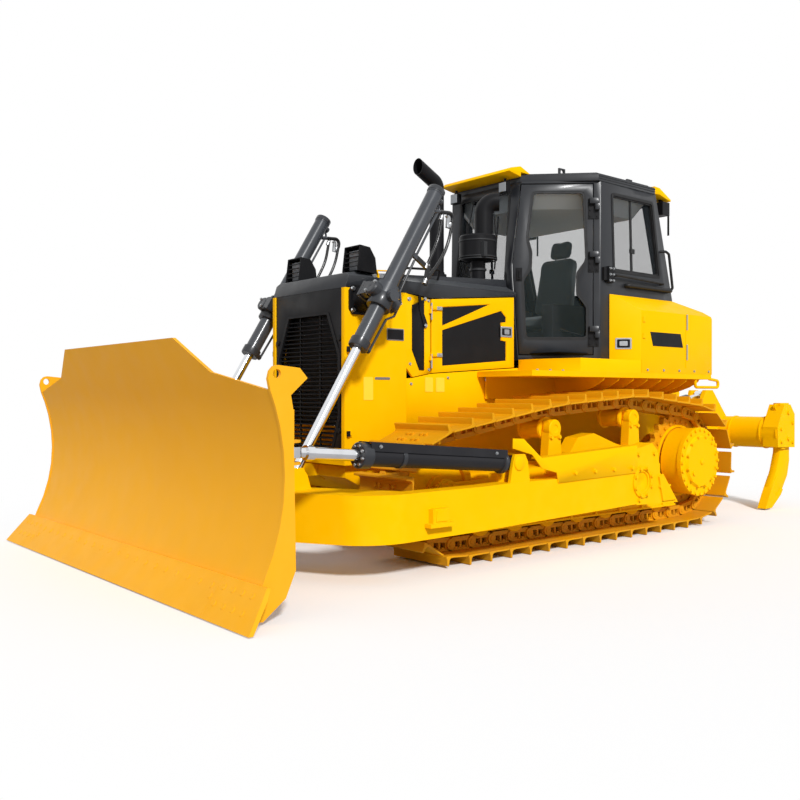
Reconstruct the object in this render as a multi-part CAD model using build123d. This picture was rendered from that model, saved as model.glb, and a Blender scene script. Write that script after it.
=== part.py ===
from build123d import *
import math
import os

# Crawler bulldozer with an outside C-frame, a blade on a centre ball, two lift
# cylinders, two long angle cylinders, a cab and a three-shank rear ripper.
# Millimetres. +X forward, +Y to the machine's left, +Z up, ground at Z = 0.
# Stations along X are counted from the first grouser that rests on the ground;
# SHIFT_X carries the finished machine so that its plan centre is the origin.
SHIFT_X = 1170.0
SEAT = 0.3                # gap between two pieces bolted or pressed face to face

# ---- tracks -------------------------------------------------------------
GAUGE = 1900.0            # centre to centre of the two tracks
SHOE_W = 560.0            # shoe width
SHOE_N = 42               # shoes in a track
GROUSER_H = 57.0
GROUSER_T = 18.0
PLATE_T = 12.0
PIN_TO_PLATE = 60.0       # chain's pin line to the shoe's outer face
LINK_IN = 45.0            # chain's pin line to the rail that rolls on the rollers
RAIL_W, RAIL_OFF = 42.0, 70.0
PIN_Z = GROUSER_H + PIN_TO_PLATE
IDLER_X, IDLER_R = 303.0, 370.0
IDLER_Z = PIN_Z + IDLER_R
IDLER_SHAFT = 58.0
SPROCKET_X, SPROCKET_Z, SPROCKET_R = -2680.0, 565.0, 440.6
SPROCKET_TEETH = 27
SPROCKET_SEAT = 235.0     # radius of the final drive's hub in the sprocket
FLAT_REAR_X = -2400.0
CARRIER = [(-1780.0, 1095.0), (-780.0, 1030.0)]   # chain's pin line over each: x, z
ROLLER_R = 95.0
CARRIER_R = 74.0
CARRIER_DROP = LINK_IN + CARRIER_R + 10.0     # pin line to the carrier roller's axis
ROLLER_N = 7
ROLLER_FIRST, ROLLER_LAST = -75.0, -2245.0
ROLLER_X = [ROLLER_LAST + i * (ROLLER_FIRST - ROLLER_LAST) / (ROLLER_N - 1) for i in range(ROLLER_N)]
SHOE_OUT = GAUGE / 2 + SHOE_W / 2

# ---- track frame and final drive ---------------------------------------
TF_Y0, TF_Y1 = 800.0, 1100.0
TF_Z0, TF_Z1 = 375.0, 600.0
FD_R, FD_CAP_R = 303.0, 215.0
FD_Y0, FD_Y1 = GAUGE / 2 + 38.0, 1225.0

# ---- hull ----------------------------------------------------------------
HULL_X0, HULL_X1 = -3240.0, 640.0
HULL_Y = 400.0
HULL_Z0, HULL_Z1 = 430.0, 900.0
HULL_RAMP = [(60.0, HULL_Z1), (HULL_X1, 640.0)]   # upper edge down to the nose: x, z
TOW_X, TOW_R, TOW_W = HULL_X1 + 48.0, 26.0, 120.0
TOW_Z0, TOW_Z1 = 556.0, 646.0

# ---- hood ------------------------------------------------------------------
HOOD_Y = 476.0
RAD_X0, RAD_X1 = 126.0, 700.0
RAD_Z0, RAD_Z1 = 654.0, 1920.0
RAD_WALL = 40.0
HINGE_X = -128.0
EXHAUST = (-560.0, 60.0, 60.0)      # x, y, pipe radius
CLEANER = (-880.0, 225.0, 62.0)     # x, y, stem radius
EXHAUST_BEND = 2915.0         # height of the bend
EXHAUST_END = (-352.0, 3025.0)  # cut end: x, z of its middle
DOOR_X1 = -1050.0
WALL = 8.0
LEAF_T = 30.0

# ---- C-frame -------------------------------------------------------------
PIVOT_X, PIVOT_Z = -1535.0, 472.0
ARM_Y0, ARM_Y1 = 1262.0, 1400.0
ARM_TOP = [(-1465.0, 588.0), (275.0, 548.0)]
BALL_X, BALL_Z, BALL_R = 1800.0, 430.0, 88.0
LIFT_PIN = (1300.0, 718.0, 620.0)
LIFT_TRUNNION = (545.0, 718.0, 1840.0)
LIFT_TOP = 965.0          # trunnion to the barrel's closed end
LIFT_NOSE = 425.0         # trunnion to the barrel's gland
ANGLE_REAR = (-110.0, 1330.0, 686.0)
ANGLE_EYE = (1712.0, 1330.0, 834.0)
ANGLE_GLAND = 1350.0      # rear pin to the gland
ANGLE_PIN = 20.0
ANGLE_EYE_R, ANGLE_BORE = 66.0, 45.0
CLEVIS_GAP = 54.0         # middle of the rod's eye to the clevis plates
TILT_BASE = (1840.0, 430.0, 700.0)
TILT_EYE = (1840.0, -430.0, 1010.0)

# ---- ripper -----------------------------------------------------------------
RIP_X, RIP_Z = -3420.0, 620.0
BEAM_X, BEAM_Z, BEAM_R = -4440.0, 770.0, 160.0
BEAM_HALF = 1085.0
RIP_CYL_Y = 330.0
RIP_CYL_BASE = (-3360.0, 1020.0)
RIP_CYL_EYE = (-4110.0, 1150.0)
SHANK_Y = [-1020.0, 0.0, 1020.0]
SHANK_T = 76.0
RIP_BARREL_R, RIP_BARREL_L = 58.0, 500.0     # barrel's length from its base pin
RIP_EAR_GAP = 66.0                           # cylinder's middle to the ears beside it
RIP_EYE_R, RIP_EYE_BORE, RIP_PIN = 54.0, 34.0, 22.0

# ---- cab --------------------------------------------------------------------
CAB_A = (-1170.0, 400.0)      # front post, foot of the door plane
CAB_B = (-1690.0, 862.0)      # hinge post
CAB_Y = 870.0
CAB_T = 45.0
CAB_Z0, CAB_Z1 = 1452.0, 2965.0
ROOF_T = 80.0
ROOF_Z = CAB_Z1 + ROOF_T
CAB_FRONT = [(-1200.0, CAB_Z1 + 1), (-1128.0, 2240.0), (-1176.0, CAB_Z0)]   # front face from the top: x, z
VISOR_UNDER = [(-2736.0, ROOF_Z - 110.0), (-2560.0, ROOF_Z - 70.0)]                        # underside of the rear visor: x, z
GAP = 8.0                     # shut line around a leaf
DECK_Z0, DECK_Z1 = 1300.0, 1345.0
DECK_Y = 1070.0


def box(x0, x1, y0, y1, z0, z1):
    return Pos((x0 + x1) / 2, (y0 + y1) / 2, (z0 + z1) / 2) * Box(abs(x1 - x0), abs(y1 - y0), abs(z1 - z0))


def prism_xz(pts, y0, y1):
    f = Face(Wire.make_polygon([(x, y0, z) for x, z in pts], close=True))
    return extrude(f, amount=y1 - y0, dir=(0, 1, 0))


def prism_xy(pts, z0, z1):
    f = Face(Wire.make_polygon([(x, y, z0) for x, y in pts], close=True))
    return extrude(f, amount=z1 - z0, dir=(0, 0, 1))


def prism_yz(pts, x0, x1):
    f = Face(Wire.make_polygon([(x0, y, z) for y, z in pts], close=True))
    return extrude(f, amount=x1 - x0, dir=(1, 0, 0))


def rod(p0, p1, r):
    a, b = Vector(*p0), Vector(*p1)
    d = b - a
    return Plane(origin=a, z_dir=d) * Cylinder(r, d.length, align=(Align.CENTER, Align.CENTER, Align.MIN))


def along(p0, p1, d):
    a, b = Vector(*p0), Vector(*p1)
    return a + (b - a).normalized() * d


def pin_y(x, z, r, y0, y1):
    return rod((x, y0, z), (x, y1, z), r)


def flip(s):
    return mirror(s, about=Plane.XZ)


def both(s):
    return [s, flip(s)]


def side_y(s, side):
    # the same piece on the left (1) or the right (-1)
    return s if side > 0 else flip(s)


def fuse(parts):
    parts = list(parts)
    out = parts[0]
    for p in parts[1:]:
        out = out + p
    return out


# ---------------------------------------------------------------- tracks --
def tangent(p, c, r, side):
    dx, dz = p[0] - c[0], p[1] - c[1]
    a = math.atan2(dz, dx) + side * math.acos(r / math.hypot(dx, dz))
    return (c[0] + r * math.cos(a), c[1] + r * math.sin(a)), a


def chain_legs():
    ci, cs = (IDLER_X, IDLER_Z), (SPROCKET_X, SPROCKET_Z)
    flat = (FLAT_REAR_X, PIN_Z)
    tb, ab = tangent(flat, cs, SPROCKET_R, -1)
    tt, at = tangent(CARRIER[0], cs, SPROCKET_R, 1)
    ti, ai = tangent(CARRIER[1], ci, IDLER_R, -1)
    # legs: ("line", from, to) or ("arc", centre, radius, start angle, sweep)
    legs = [("line", (IDLER_X, PIN_Z), flat), ("line", flat, tb),
            ("arc", cs, SPROCKET_R, ab + 2 * math.pi, at - ab - 2 * math.pi),
            ("line", tt, CARRIER[0]), ("line", CARRIER[0], CARRIER[1]),
            ("line", CARRIER[1], ti), ("arc", ci, IDLER_R, ai, -math.pi / 2 - ai)]
    size = [math.dist(g[1], g[2]) if g[0] == "line" else abs(g[2] * g[4]) for g in legs]
    return legs, size


def chain_step():
    return sum(chain_legs()[1]) / SHOE_N


def chain_pins():
    # pins at equal steps round the loop, one of them over the first grouser on the ground
    legs, size = chain_legs()
    total, step = sum(size), chain_step()
    start = IDLER_X % step
    pins = []
    for i in range(SHOE_N):
        d = (start + i * step) % total
        for g, n in zip(legs, size):
            if d <= n:
                break
            d -= n
        if g[0] == "line":
            k = d / n
            pins.append((g[1][0] + (g[2][0] - g[1][0]) * k, g[1][1] + (g[2][1] - g[1][1]) * k))
        else:
            a = g[3] + math.copysign(d / g[2], g[4])
            pins.append((g[1][0] + g[2] * math.cos(a), g[1][1] + g[2] * math.sin(a)))
    return pins


def ring_offset(pins, d):
    out = []
    n = len(pins)
    for i in range(n):
        a, b, c = pins[i - 1], pins[i], pins[(i + 1) % n]
        u = ((b[0] - a[0]), (b[1] - a[1]))
        v = ((c[0] - b[0]), (c[1] - b[1]))
        t = (u[0] + v[0], u[1] + v[1])
        m = math.hypot(*t)
        out.append((b[0] - t[1] / m * d, b[1] + t[0] / m * d))
    return out


def track(sign):
    pins = chain_pins()
    n = len(pins)
    inner = ring_offset(pins, PIN_TO_PLATE - PLATE_T)
    outer = []
    for i in range(n):
        a, b = pins[i], pins[(i + 1) % n]
        p = math.dist(a, b)
        t = ((b[0] - a[0]) / p, (b[1] - a[1]) / p)
        q = (-t[1], t[0])

        def at(s, h):
            return (a[0] + t[0] * s + q[0] * h, a[1] + t[1] * s + q[1] * h)
        top = PIN_TO_PLATE + GROUSER_H
        outer += [at(2, PIN_TO_PLATE + 2), at(2, top), at(2 + GROUSER_T, top), at(6 + GROUSER_T, PIN_TO_PLATE),
                  at(p - 6, PIN_TO_PLATE)]
    y0, y1 = GAUGE / 2 - SHOE_W / 2, GAUGE / 2 + SHOE_W / 2
    belt = prism_xz(outer, y0, y1) - prism_xz(inner, y0 - 5, y1 + 5)
    rail_o, rail_i = ring_offset(pins, PIN_TO_PLATE - PLATE_T + 1), ring_offset(pins, -LINK_IN)
    for side in (-1, 1):
        yc = GAUGE / 2 + side * RAIL_OFF
        belt = belt + (prism_xz(rail_o, yc - RAIL_W / 2, yc + RAIL_W / 2)
                       - prism_xz(rail_i, yc - RAIL_W, yc + RAIL_W))
    return belt if sign > 0 else flip(belt)


def sprocket():
    pts = []
    root, tip = SPROCKET_R - 42, SPROCKET_R - 6
    for i in range(SPROCKET_TEETH):
        a = 2 * math.pi * i / SPROCKET_TEETH
        w = 2 * math.pi / SPROCKET_TEETH
        for k, r in ((0.0, root), (0.34, root), (0.56, tip), (0.78, tip)):
            pts.append((SPROCKET_X + r * math.cos(a + k * w), SPROCKET_Z + r * math.sin(a + k * w)))
    s = prism_xz(pts, GAUGE / 2 - 24, GAUGE / 2 + 24)
    return s - pin_y(SPROCKET_X, SPROCKET_Z, SPROCKET_SEAT + SEAT, GAUGE / 2 - 60, GAUGE / 2 + 60)


def final_drive():
    y0 = GAUGE / 2 - 22
    prof = [(0, HULL_Y + SEAT), (150, HULL_Y + SEAT), (150, 640), (SPROCKET_SEAT, 700), (SPROCKET_SEAT, y0 + 46), (FD_R - 8, y0 + 70), (FD_R - 8, 1165),
            (FD_R, 1165), (FD_R, FD_Y1 - 22), (FD_CAP_R + 20, FD_Y1 - 22), (FD_CAP_R, FD_Y1), (0, FD_Y1)]
    f = Face(Wire.make_polygon([(SPROCKET_X + r, y, SPROCKET_Z) for r, y in prof], close=True))
    return revolve(f, axis=Axis((SPROCKET_X, 0, SPROCKET_Z), (0, 1, 0)), revolution_arc=360)


def idler():
    # the rim carries the straight rails at the middle of each link
    r = (IDLER_R - LINK_IN) * math.cos(chain_step() / IDLER_R / 2) - 0.3
    c = GAUGE / 2
    w = RAIL_OFF + RAIL_W / 2
    prof = [(IDLER_SHAFT + 0.3, c - 90), (110, c - 90), (110, c - 60), (r - 60, c - 60), (r - 60, c - w), (r - 1, c - w), (r - 1, c - 44),
            (r + 22, c - 40), (r + 22, c + 40), (r - 1, c + 44), (r - 1, c + w), (r - 60, c + w), (r - 60, c + 60),
            (110, c + 60), (110, c + 90), (IDLER_SHAFT + 0.3, c + 90)]
    f = Face(Wire.make_polygon([(IDLER_X + q, y, IDLER_Z) for q, y in prof], close=True))
    return revolve(f, axis=Axis((IDLER_X, 0, IDLER_Z), (0, 1, 0)), revolution_arc=360)


def roller(x, z, r, shaft):
    # double-flanged drum on its shaft
    c = GAUGE / 2
    prof = [(0, c - shaft), (34, c - shaft), (34, c - 112), (r + 14, c - 112), (r + 18, c - 96), (r, c - 93), (r, c + 93), (r + 18, c + 96), (r + 14, c + 112),
            (34, c + 112), (34, c + shaft), (0, c + shaft)]
    f = Face(Wire.make_polygon([(x + q, y, z) for q, y in prof], close=True))
    return revolve(f, axis=Axis((x, 0, z), (0, 1, 0)), revolution_arc=360)


def rollers():
    z = PIN_Z + LINK_IN + ROLLER_R + 1
    out = [roller(x, z, ROLLER_R, 150) for x in ROLLER_X]
    for x, zp in CARRIER:
        out.append(roller(x, zp - CARRIER_DROP, CARRIER_R, 150))
    return [s for r in out for s in both(r)]


def track_frame():
    zr = PIN_Z + LINK_IN + ROLLER_R + 1
    beam = prism_xz([(-2225, TF_Z0), (-70, TF_Z0), (-70, 560), (-120, 590), (-700, 610),
                     (-1150, 640), (-1500, 700), (-1820, 720), (-2150, 640), (-2225, 560)], TF_Y0, TF_Y1)
    parts = [beam]
    # roller guards: two side plates with cross ribs, and the end blocks of the roller shafts
    for y0, y1 in ((TF_Y0 - 2, TF_Y0 + 16), (TF_Y1 - 16, TF_Y1 + 2)):
        parts.append(prism_xz([(-2440, 190), (-2360, 376), (-20, 376), (30, 230), (-10, 190)], y0, y1))
    # yoke fork that carries the idler
    for y0, y1 in ((TF_Y0 - 2, TF_Y0 + 26), (TF_Y1 - 26, TF_Y1 + 2)):
        parts.append(prism_xz([(-120, 400), (IDLER_X + 90, 430), (IDLER_X + 90, 545), (-120, 560)], y0, y1))
    parts.append(pin_y(IDLER_X, IDLER_Z, IDLER_SHAFT, TF_Y0 - 2, TF_Y1 + 2))
    # carrier roller brackets
    for x, zp in CARRIER:
        zc = zp - CARRIER_DROP
        parts.append(prism_xz([(x - 70, 560), (x - 52, zc + 60), (x + 52, zc + 60), (x + 70, 560)], GAUGE / 2 + 118, GAUGE / 2 + 182))
    # cross shafts that carry the frame on the hull
    parts.append(box(-1240, -1060, HULL_Y + SEAT, TF_Y0 + 1, 440, 600))
    parts.append(pin_y(-1900, 500, 80, HULL_Y + SEAT, TF_Y0 + 1))
    # trunnion shaft for the C-frame
    parts.append(pin_y(PIVOT_X, PIVOT_Z, 78, TF_Y1 - 1, ARM_Y1 - 30))
    f = fuse(parts)
    for x, zp in CARRIER:
        f = f - pin_y(x, zp - CARRIER_DROP, 34.3, GAUGE / 2 + 90, GAUGE / 2 + 151)
    for x in ROLLER_X:
        f = f - pin_y(x, zr, 34.3, GAUGE / 2 - 150.5, GAUGE / 2 + 150.5)
    return f


# ------------------------------------------------------------------- hull --
def hull():
    side = [(HULL_X0, 480), (HULL_X0, 1000), (-2900, 1120), (-1200, 1120), (-1150, HULL_Z1), HULL_RAMP[0], HULL_RAMP[1],
            (HULL_X1, 560), (380, HULL_Z0), (-2950, HULL_Z0)]
    body = prism_xz(side, -HULL_Y, HULL_Y)
    # pulling eye with its vertical pin hole, and the round boss before it
    nose = prism_xz([(HULL_X1 - 60, 520), (HULL_X1, TOW_Z0), (TOW_X + TOW_W / 2, TOW_Z0), (TOW_X + TOW_W / 2, TOW_Z1), (HULL_X1 - 60, TOW_Z1)],
                    -TOW_W / 2, TOW_W / 2)
    nose = nose - rod((TOW_X, 0, TOW_Z0 - 60), (TOW_X, 0, TOW_Z1 + 60), TOW_R)
    zb, xb = (TOW_Z0 + TOW_Z1) / 2, TOW_X + TOW_W / 2
    nose = nose + rod((xb - 1, 0, zb), (xb + 18, 0, zb), 42) - rod((xb + 6, 0, zb), (xb + 30, 0, zb), 14)
    return body + nose


def hull_top(x):
    # the hull's upper edge where it slopes down to the nose
    k = (x - HULL_RAMP[0][0]) / (HULL_RAMP[1][0] - HULL_RAMP[0][0])
    return HULL_RAMP[0][1] + (HULL_RAMP[1][1] - HULL_RAMP[0][1]) * k


def engine():
    # plain block between the side doors
    return box(-1000, 60, -260, 260, HULL_Z1 + 0.3, 1780)


def radiator_housing():
    outer = box(RAD_X0, RAD_X1, -HOOD_Y, HOOD_Y, RAD_Z0, RAD_Z1)
    outer = outer - box(RAD_X0 - 5, RAD_X1 - 60, -HOOD_Y + RAD_WALL, HOOD_Y - RAD_WALL, HULL_Z1 + 30, RAD_Z1 - 30)
    outer = outer - box(RAD_X1 - 80, RAD_X1 + 5, -HOOD_Y + RAD_WALL, HOOD_Y - RAD_WALL, RAD_Z0 + RAD_WALL, RAD_Z1 + 5)
    # the hull runs through the foot of the housing
    outer = outer - prism_xz([(RAD_X0 - 10, 600), (RAD_X0 - 10, hull_top(RAD_X0 - 10) + SEAT), (HULL_X1 + 5, hull_top(HULL_X1 + 5) + SEAT), (HULL_X1 + 5, 500)], -HULL_Y - SEAT, HULL_Y + SEAT)
    return outer


def grille():
    z0 = RAD_Z0 + RAD_WALL + SEAT
    w = HOOD_Y - RAD_WALL - SEAT
    x0, x1 = RAD_X1 - 46, RAD_X1 - 8
    frame = box(x0, x1, -w, w, z0, RAD_Z1)
    # six-sided air opening: half width at each height
    open_ = [(250, 1740), (385, 1440), (385, 1000), (300, 760)]
    hole = prism_yz([(y, z) for y, z in open_] + [(-y, z) for y, z in reversed(open_)], x0 - 5, x1 + 5)
    g = frame - hole
    n = 30
    for i in range(n):
        z = 780 + i * (1740 - 780) / n
        lim = min(250 + (1740 - z) * 0.45, 385, 300 + (z - 760) * 0.354) + 8
        g = g + Pos((x0 + x1) / 2, 0, z) * (Rot(0, 28, 0) * Box(26, 2 * lim, 4))
    for y in (-130, 130):
        g = g + box(x0 + 6, x0 + 16, y - 6, y + 6, 752, 1752)
    return g


def hood():
    # black cap: it slopes up towards the cab, with chamfered shoulders
    prof = [(-HOOD_Y, 0), (-HOOD_Y, 60), (-HOOD_Y + 95, 150), (HOOD_Y - 95, 150), (HOOD_Y, 60), (HOOD_Y, 0)]
    side = prism_xz([(RAD_X1 - 6, RAD_Z1 + 0.3), (RAD_X1 - 40, RAD_Z1 + 110), (560, RAD_Z1 + 130), (-1080, RAD_Z1 + 210), (-1080, RAD_Z1 + 58), (HINGE_X, RAD_Z1 - 22), (RAD_X0, RAD_Z1 + 0.3)],
                    -HOOD_Y, HOOD_Y)
    for s in (-1, 1):
        side = side - prism_yz([(s * HOOD_Y, RAD_Z1 + 90), (s * (HOOD_Y + 5), RAD_Z1 + 280), (s * (HOOD_Y - 130), RAD_Z1 + 280), (s * (HOOD_Y - 110), RAD_Z1 + 145)], -1200, 800)
    side = side - box(-1070, 640, -HOOD_Y + WALL + LEAF_T, HOOD_Y - WALL - LEAF_T, RAD_Z1 - 120, RAD_Z1 + 90)
    for x, y, r in (EXHAUST, CLEANER):
        side = side - Pos(x, y, RAD_Z1 + 160) * Cylinder(r + 0.3, 300)
    return side


PANEL_AXIS = (HINGE_X + 8, HOOD_Y + 8)
PANEL_HINGES = [1420.0, 1780.0]


def nose_panel():
    # fixed side panel between the radiator housing and the engine door, with the door's hinges
    s = prism_xz([(RAD_X0 - SEAT, 1360), (RAD_X0 - SEAT, RAD_Z1 - 2), (HINGE_X + 15, RAD_Z1 - 34), (HINGE_X + 15, 1322), (60, 1292)], HOOD_Y - 26, HOOD_Y - 2)
    x, y = PANEL_AXIS
    for z in PANEL_HINGES:
        s = s + box(x - 2, x + 22, HOOD_Y - 4, y + 9, z, z + 30) + rod((x, y, z + 1), (x, y, z + 60), 6)
    return s


def corner_plate():
    pts = [(-49, 1345), (0, 1345), (72, 1495), (72, 1833), (-49, RAD_Z1 - 38)]
    return prism_xz(pts, HOOD_Y - 2 + SEAT, HOOD_Y + 5)


def engine_door():
    pts = [(HINGE_X, 1325), (HINGE_X, RAD_Z1 - 30), (DOOR_X1, RAD_Z1 + 48), (DOOR_X1, 1386)]
    leaf = prism_xz(pts, HOOD_Y - LEAF_T, HOOD_Y)
    upper = [(HINGE_X - 110, RAD_Z1 - 80), (HINGE_X - 110, RAD_Z1 - 230), (-770, RAD_Z1 - 25)]
    lower = [(HINGE_X - 110, RAD_Z1 - 260), (HINGE_X - 110, 1380), (-960, 1438), (-960, RAD_Z1 - 320), (-900, RAD_Z1 - 314), (-900, RAD_Z1 - 170), (-960, RAD_Z1 - 164), (-960, RAD_Z1 - 120), (-900, RAD_Z1 - 70)]
    leaf = leaf - prism_xz(upper, HOOD_Y - 8, HOOD_Y + 1) - prism_xz(lower, HOOD_Y - 8, HOOD_Y + 1)
    x, y = PANEL_AXIS
    for z in PANEL_HINGES:
        leaf = leaf + ((box(x - 50, x - 9, HOOD_Y - 2, y + 9, z + 30.5, z + 58) + box(x - 10, x + 9, HOOD_Y + 2, y + 9, z + 30.5, z + 58)) - rod((x, y, z), (x, y, z + 70), 6.05))
    return leaf


def side_cover():
    pts = [(RAD_X0 - SEAT, 905), (RAD_X0 - SEAT, 1278), (60, 1284), (HINGE_X, 1318), (DOOR_X1, 1378), (-1148, 1384), (-1148, 1122), (-1160, 905)]
    return prism_xz(pts, HULL_Y + SEAT, HOOD_Y - 2)


def exhaust():
    # straight pipe with a short leg leaning forward, its mouth cut upright
    x, y, r = EXHAUST
    xe, ze = EXHAUST_END
    z0, zb = RAD_Z1 + 140, EXHAUST_BEND
    out = (xe + 60, y, ze + 60 * (ze - zb) / (xe - x))
    p = sweep(Plane(origin=(x, y, z0), z_dir=(0, 0, 1)) * Circle(r), FilletPolyline((x, y, z0), (x, y, zb), out, radius=66))
    p = p - sweep(Plane(origin=(x, y, zb - 260), z_dir=(0, 0, 1)) * Circle(r - 6), FilletPolyline((x, y, zb - 260), (x, y, zb), out, radius=66))
    p = p - box(xe, xe + 200, y - 100, y + 100, zb - 60, ze + 200)
    base = Pos(x, y, RAD_Z1 + 214) * Cylinder(r + 22, 48)
    return p + base


def pre_cleaner():
    x, y, r = CLEANER
    prof = [(0, 165), (r, 165), (r, 355), (120, 366), (146, 378), (157, 392), (157, 560), (148, 574), (0, 578)]
    f = Face(Wire.make_polygon([(x + q, y, RAD_Z1 + z) for q, z in prof], close=True))
    bowl = revolve(f, axis=Axis((x, y, 0), (0, 0, 1)), revolution_arc=360)
    # intake duct over the bowl, turned over at its top
    dx, dy, z0, z1 = x - 34, y + 34, RAD_Z1 + 570, RAD_Z1 + 860
    duct = sweep(Plane(origin=(dx, dy, z0), z_dir=(0, 0, 1)) * Circle(78), FilletPolyline((dx, dy, z0), (dx, dy, z1), (dx - 92, dy + 92, z1), radius=100))
    return bowl + duct


LAMP_REAR = (-2604.0, -2726.0)     # rear lamps, front and back


def work_lamps():
    out = []
    for s in (-1, 1):
        # pods on the hood's front corners
        out.append(prism_xz([(520, RAD_Z1 + 132.4), (520, RAD_Z1 + 270), (560, RAD_Z1 + 292), (640, RAD_Z1 + 276), (652, RAD_Z1 + 140), (648, RAD_Z1 + 112.8), (560, RAD_Z1 + 130.4)], min(s * 384, s * 230), max(s * 384, s * 230)))
        # lamps under the front visor and at the cab's rear
        out.append(prism_xz([(cab_front(ROOF_Z - 83) + SEAT, ROOF_Z - 83), (cab_front(ROOF_Z - 155) + SEAT, ROOF_Z - 155), (-1120, ROOF_Z - 155), (-1120, ROOF_Z - 83)], s * 300 - 45, s * 300 + 45))
        (xa, za), (xb, zb) = VISOR_UNDER
        top = [(x, za + (zb - za) * (x - xa) / (xb - xa) - SEAT) for x in LAMP_REAR]
        out.append(prism_xz([(LAMP_REAR[1], ROOF_Z - 235), (LAMP_REAR[0], ROOF_Z - 235)] + top, s * 805 - 62, s * 805 + 62))
    return out


# -------------------------------------------------------------------- cab --
def door_frame():
    ax, ay = CAB_A
    e = Vector(CAB_B[0] - ax, CAB_B[1] - ay, 0).normalized()
    n = Vector(-e.Y, e.X, 0) * -1
    if n.Y < 0:
        n = n * -1
    return e, n


def in_door(pts, depth0, depth1):
    # pts are (distance along the door plane from the front post, height)
    e, n = door_frame()
    a = Vector(CAB_A[0], CAB_A[1], 0)
    f = Face(Wire.make_polygon([a + e * s + n * depth0 + Vector(0, 0, z) for s, z in pts], close=True))
    return extrude(f, amount=depth1 - depth0, dir=(n.X, n.Y, 0))


DOOR_OUT = [(38, CAB_Z1 - 25), (-34, 2260), (-32, 2160), (20, 1500), (640, 1500), (640, CAB_Z1 - 25)]
DOOR_WIN = [(140, CAB_Z1 - 97), (560, CAB_Z1 - 97), (585, 2300), (508, 2190), (508, 2010), (590, 1905), (590, 1640), (74, 1640),
            (52, 2130), (120, 2232), (124, 2370), (92, 2480)]


def grow(pts, d):
    # a simple polygon with each edge moved outward by d
    n = len(pts)
    area = sum(pts[i][0] * pts[(i + 1) % n][1] - pts[(i + 1) % n][0] * pts[i][1] for i in range(n))
    d = d if area > 0 else -d
    out = []
    for i in range(n):
        p, q, r = pts[i - 1], pts[i], pts[(i + 1) % n]
        u = (q[0] - p[0], q[1] - p[1])
        v = (r[0] - q[0], r[1] - q[1])
        lu, lv = math.hypot(*u), math.hypot(*v)
        nu, nv = (u[1] / lu, -u[0] / lu), (v[1] / lv, -v[0] / lv)
        k = d / (1 + nu[0] * nv[0] + nu[1] * nv[1])
        out.append((q[0] + k * (nu[0] + nv[0]), q[1] + k * (nu[1] + nv[1])))
    return out


def cab_front(z):
    # the front face's station at a height above its kink
    (xa, za), (xb, zb) = CAB_FRONT[0], CAB_FRONT[1]
    return xa + (xb - xa) * (z - za) / (zb - za)


def cab_block(d):
    # the cab's outside, drawn in by d
    e, n = door_frame()
    a = (CAB_A[0] - n.X * d, CAB_A[1] - n.Y * d)
    b = (CAB_B[0] - n.X * d, CAB_B[1] - n.Y * d)
    yk = CAB_Y - d

    def hit_y(y):
        k = (y - a[1]) / (b[1] - a[1])
        return (a[0] + (b[0] - a[0]) * k, y)

    def hit_x(x):
        k = (x - a[0]) / (b[0] - a[0])
        return (x, a[1] + (b[1] - a[1]) * k)
    p0, p1 = hit_x(-1000.0), hit_y(yk)
    half = [p0, p1, (-2900, yk)]
    plan = half + [(x, -y) for x, y in reversed(half)]
    side = [(x - d, z) for x, z in CAB_FRONT] + [ (-2757 + d, CAB_Z0), (-2757 + d, 2030), (-2490 + d, CAB_Z1 + 1)]
    return prism_xy(plan, CAB_Z0 + (d if d else 0), CAB_Z1) & prism_xz(side, -1000, 1000)


WIN_TOP = CAB_Z1 - 85        # upper edge of the side and rear windows
SIDE_WIN = [(-1850, WIN_TOP), (-2440, WIN_TOP), (-2560, 2222), (-1880, 2222)]


def cab_frame():
    shell = cab_block(0) - cab_block(CAB_T)
    shell = shell + box(-2700, -1300, -380, 380, CAB_Z0, CAB_Z0 + 46)
    cut = in_door(grow(DOOR_OUT, GAP), -CAB_T - 30, 30)
    win = prism_xz(SIDE_WIN, CAB_Y - CAB_T - 20, CAB_Y + 20)
    for c in (cut, win):
        shell = shell - c - flip(c)
    # front and rear windows
    shell = shell - prism_yz([(-300, WIN_TOP + 20), (300, WIN_TOP + 20), (300, 2140), (220, 1640), (-220, 1640), (-300, 2140)], -1350, -1000)
    shell = shell - prism_yz([(-740, WIN_TOP), (740, WIN_TOP), (740, 2150), (-740, 2150)], -2900, -2420)
    for h in door_hinges(True):
        shell = shell + h + flip(h)
    return shell


def cab_roof():
    e, n = door_frame()
    pts = [(-1205, 405), (-1664, 874), (-2480, 874)]
    plan = pts + [(x, -y) for x, y in reversed(pts)]
    low = prism_xy(plan, CAB_Z1 + 0.3, ROOF_Z - 22)
    top = prism_xy([(-1255, 380), (-1690, 830), (-2440, 830), (-2440, -830), (-1690, -830), (-1255, -380)], ROOF_Z - 23, ROOF_Z)
    lugs = [box(x - 40, x + 40, y - 8, y + 8, ROOF_Z - 1, ROOF_Z + 62) - pin_y(x, ROOF_Z + 30, 20, y - 20, y + 20)
            for x, y in ((-1560, 560), (-2330, 700))]
    return fuse([low, top] + [s for l in lugs for s in both(l)])


def visors():
    front = prism_xz([(-1060, ROOF_Z - 5), (-1090, ROOF_Z + 27), (-1200, ROOF_Z + 53), (-1330, ROOF_Z + 0.3), (-1262, ROOF_Z + 0.3), (-1204.6, ROOF_Z + 3), (-1204.6, ROOF_Z - 35), (-1090, ROOF_Z - 15)], -415, 415)
    rear = prism_xz([(-2480 - SEAT, ROOF_Z - 73), (-2480 - SEAT, ROOF_Z - 5), (-2560, ROOF_Z - 9), (-2740, ROOF_Z - 95)] + VISOR_UNDER, -868, 868)
    return [front, rear]


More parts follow.
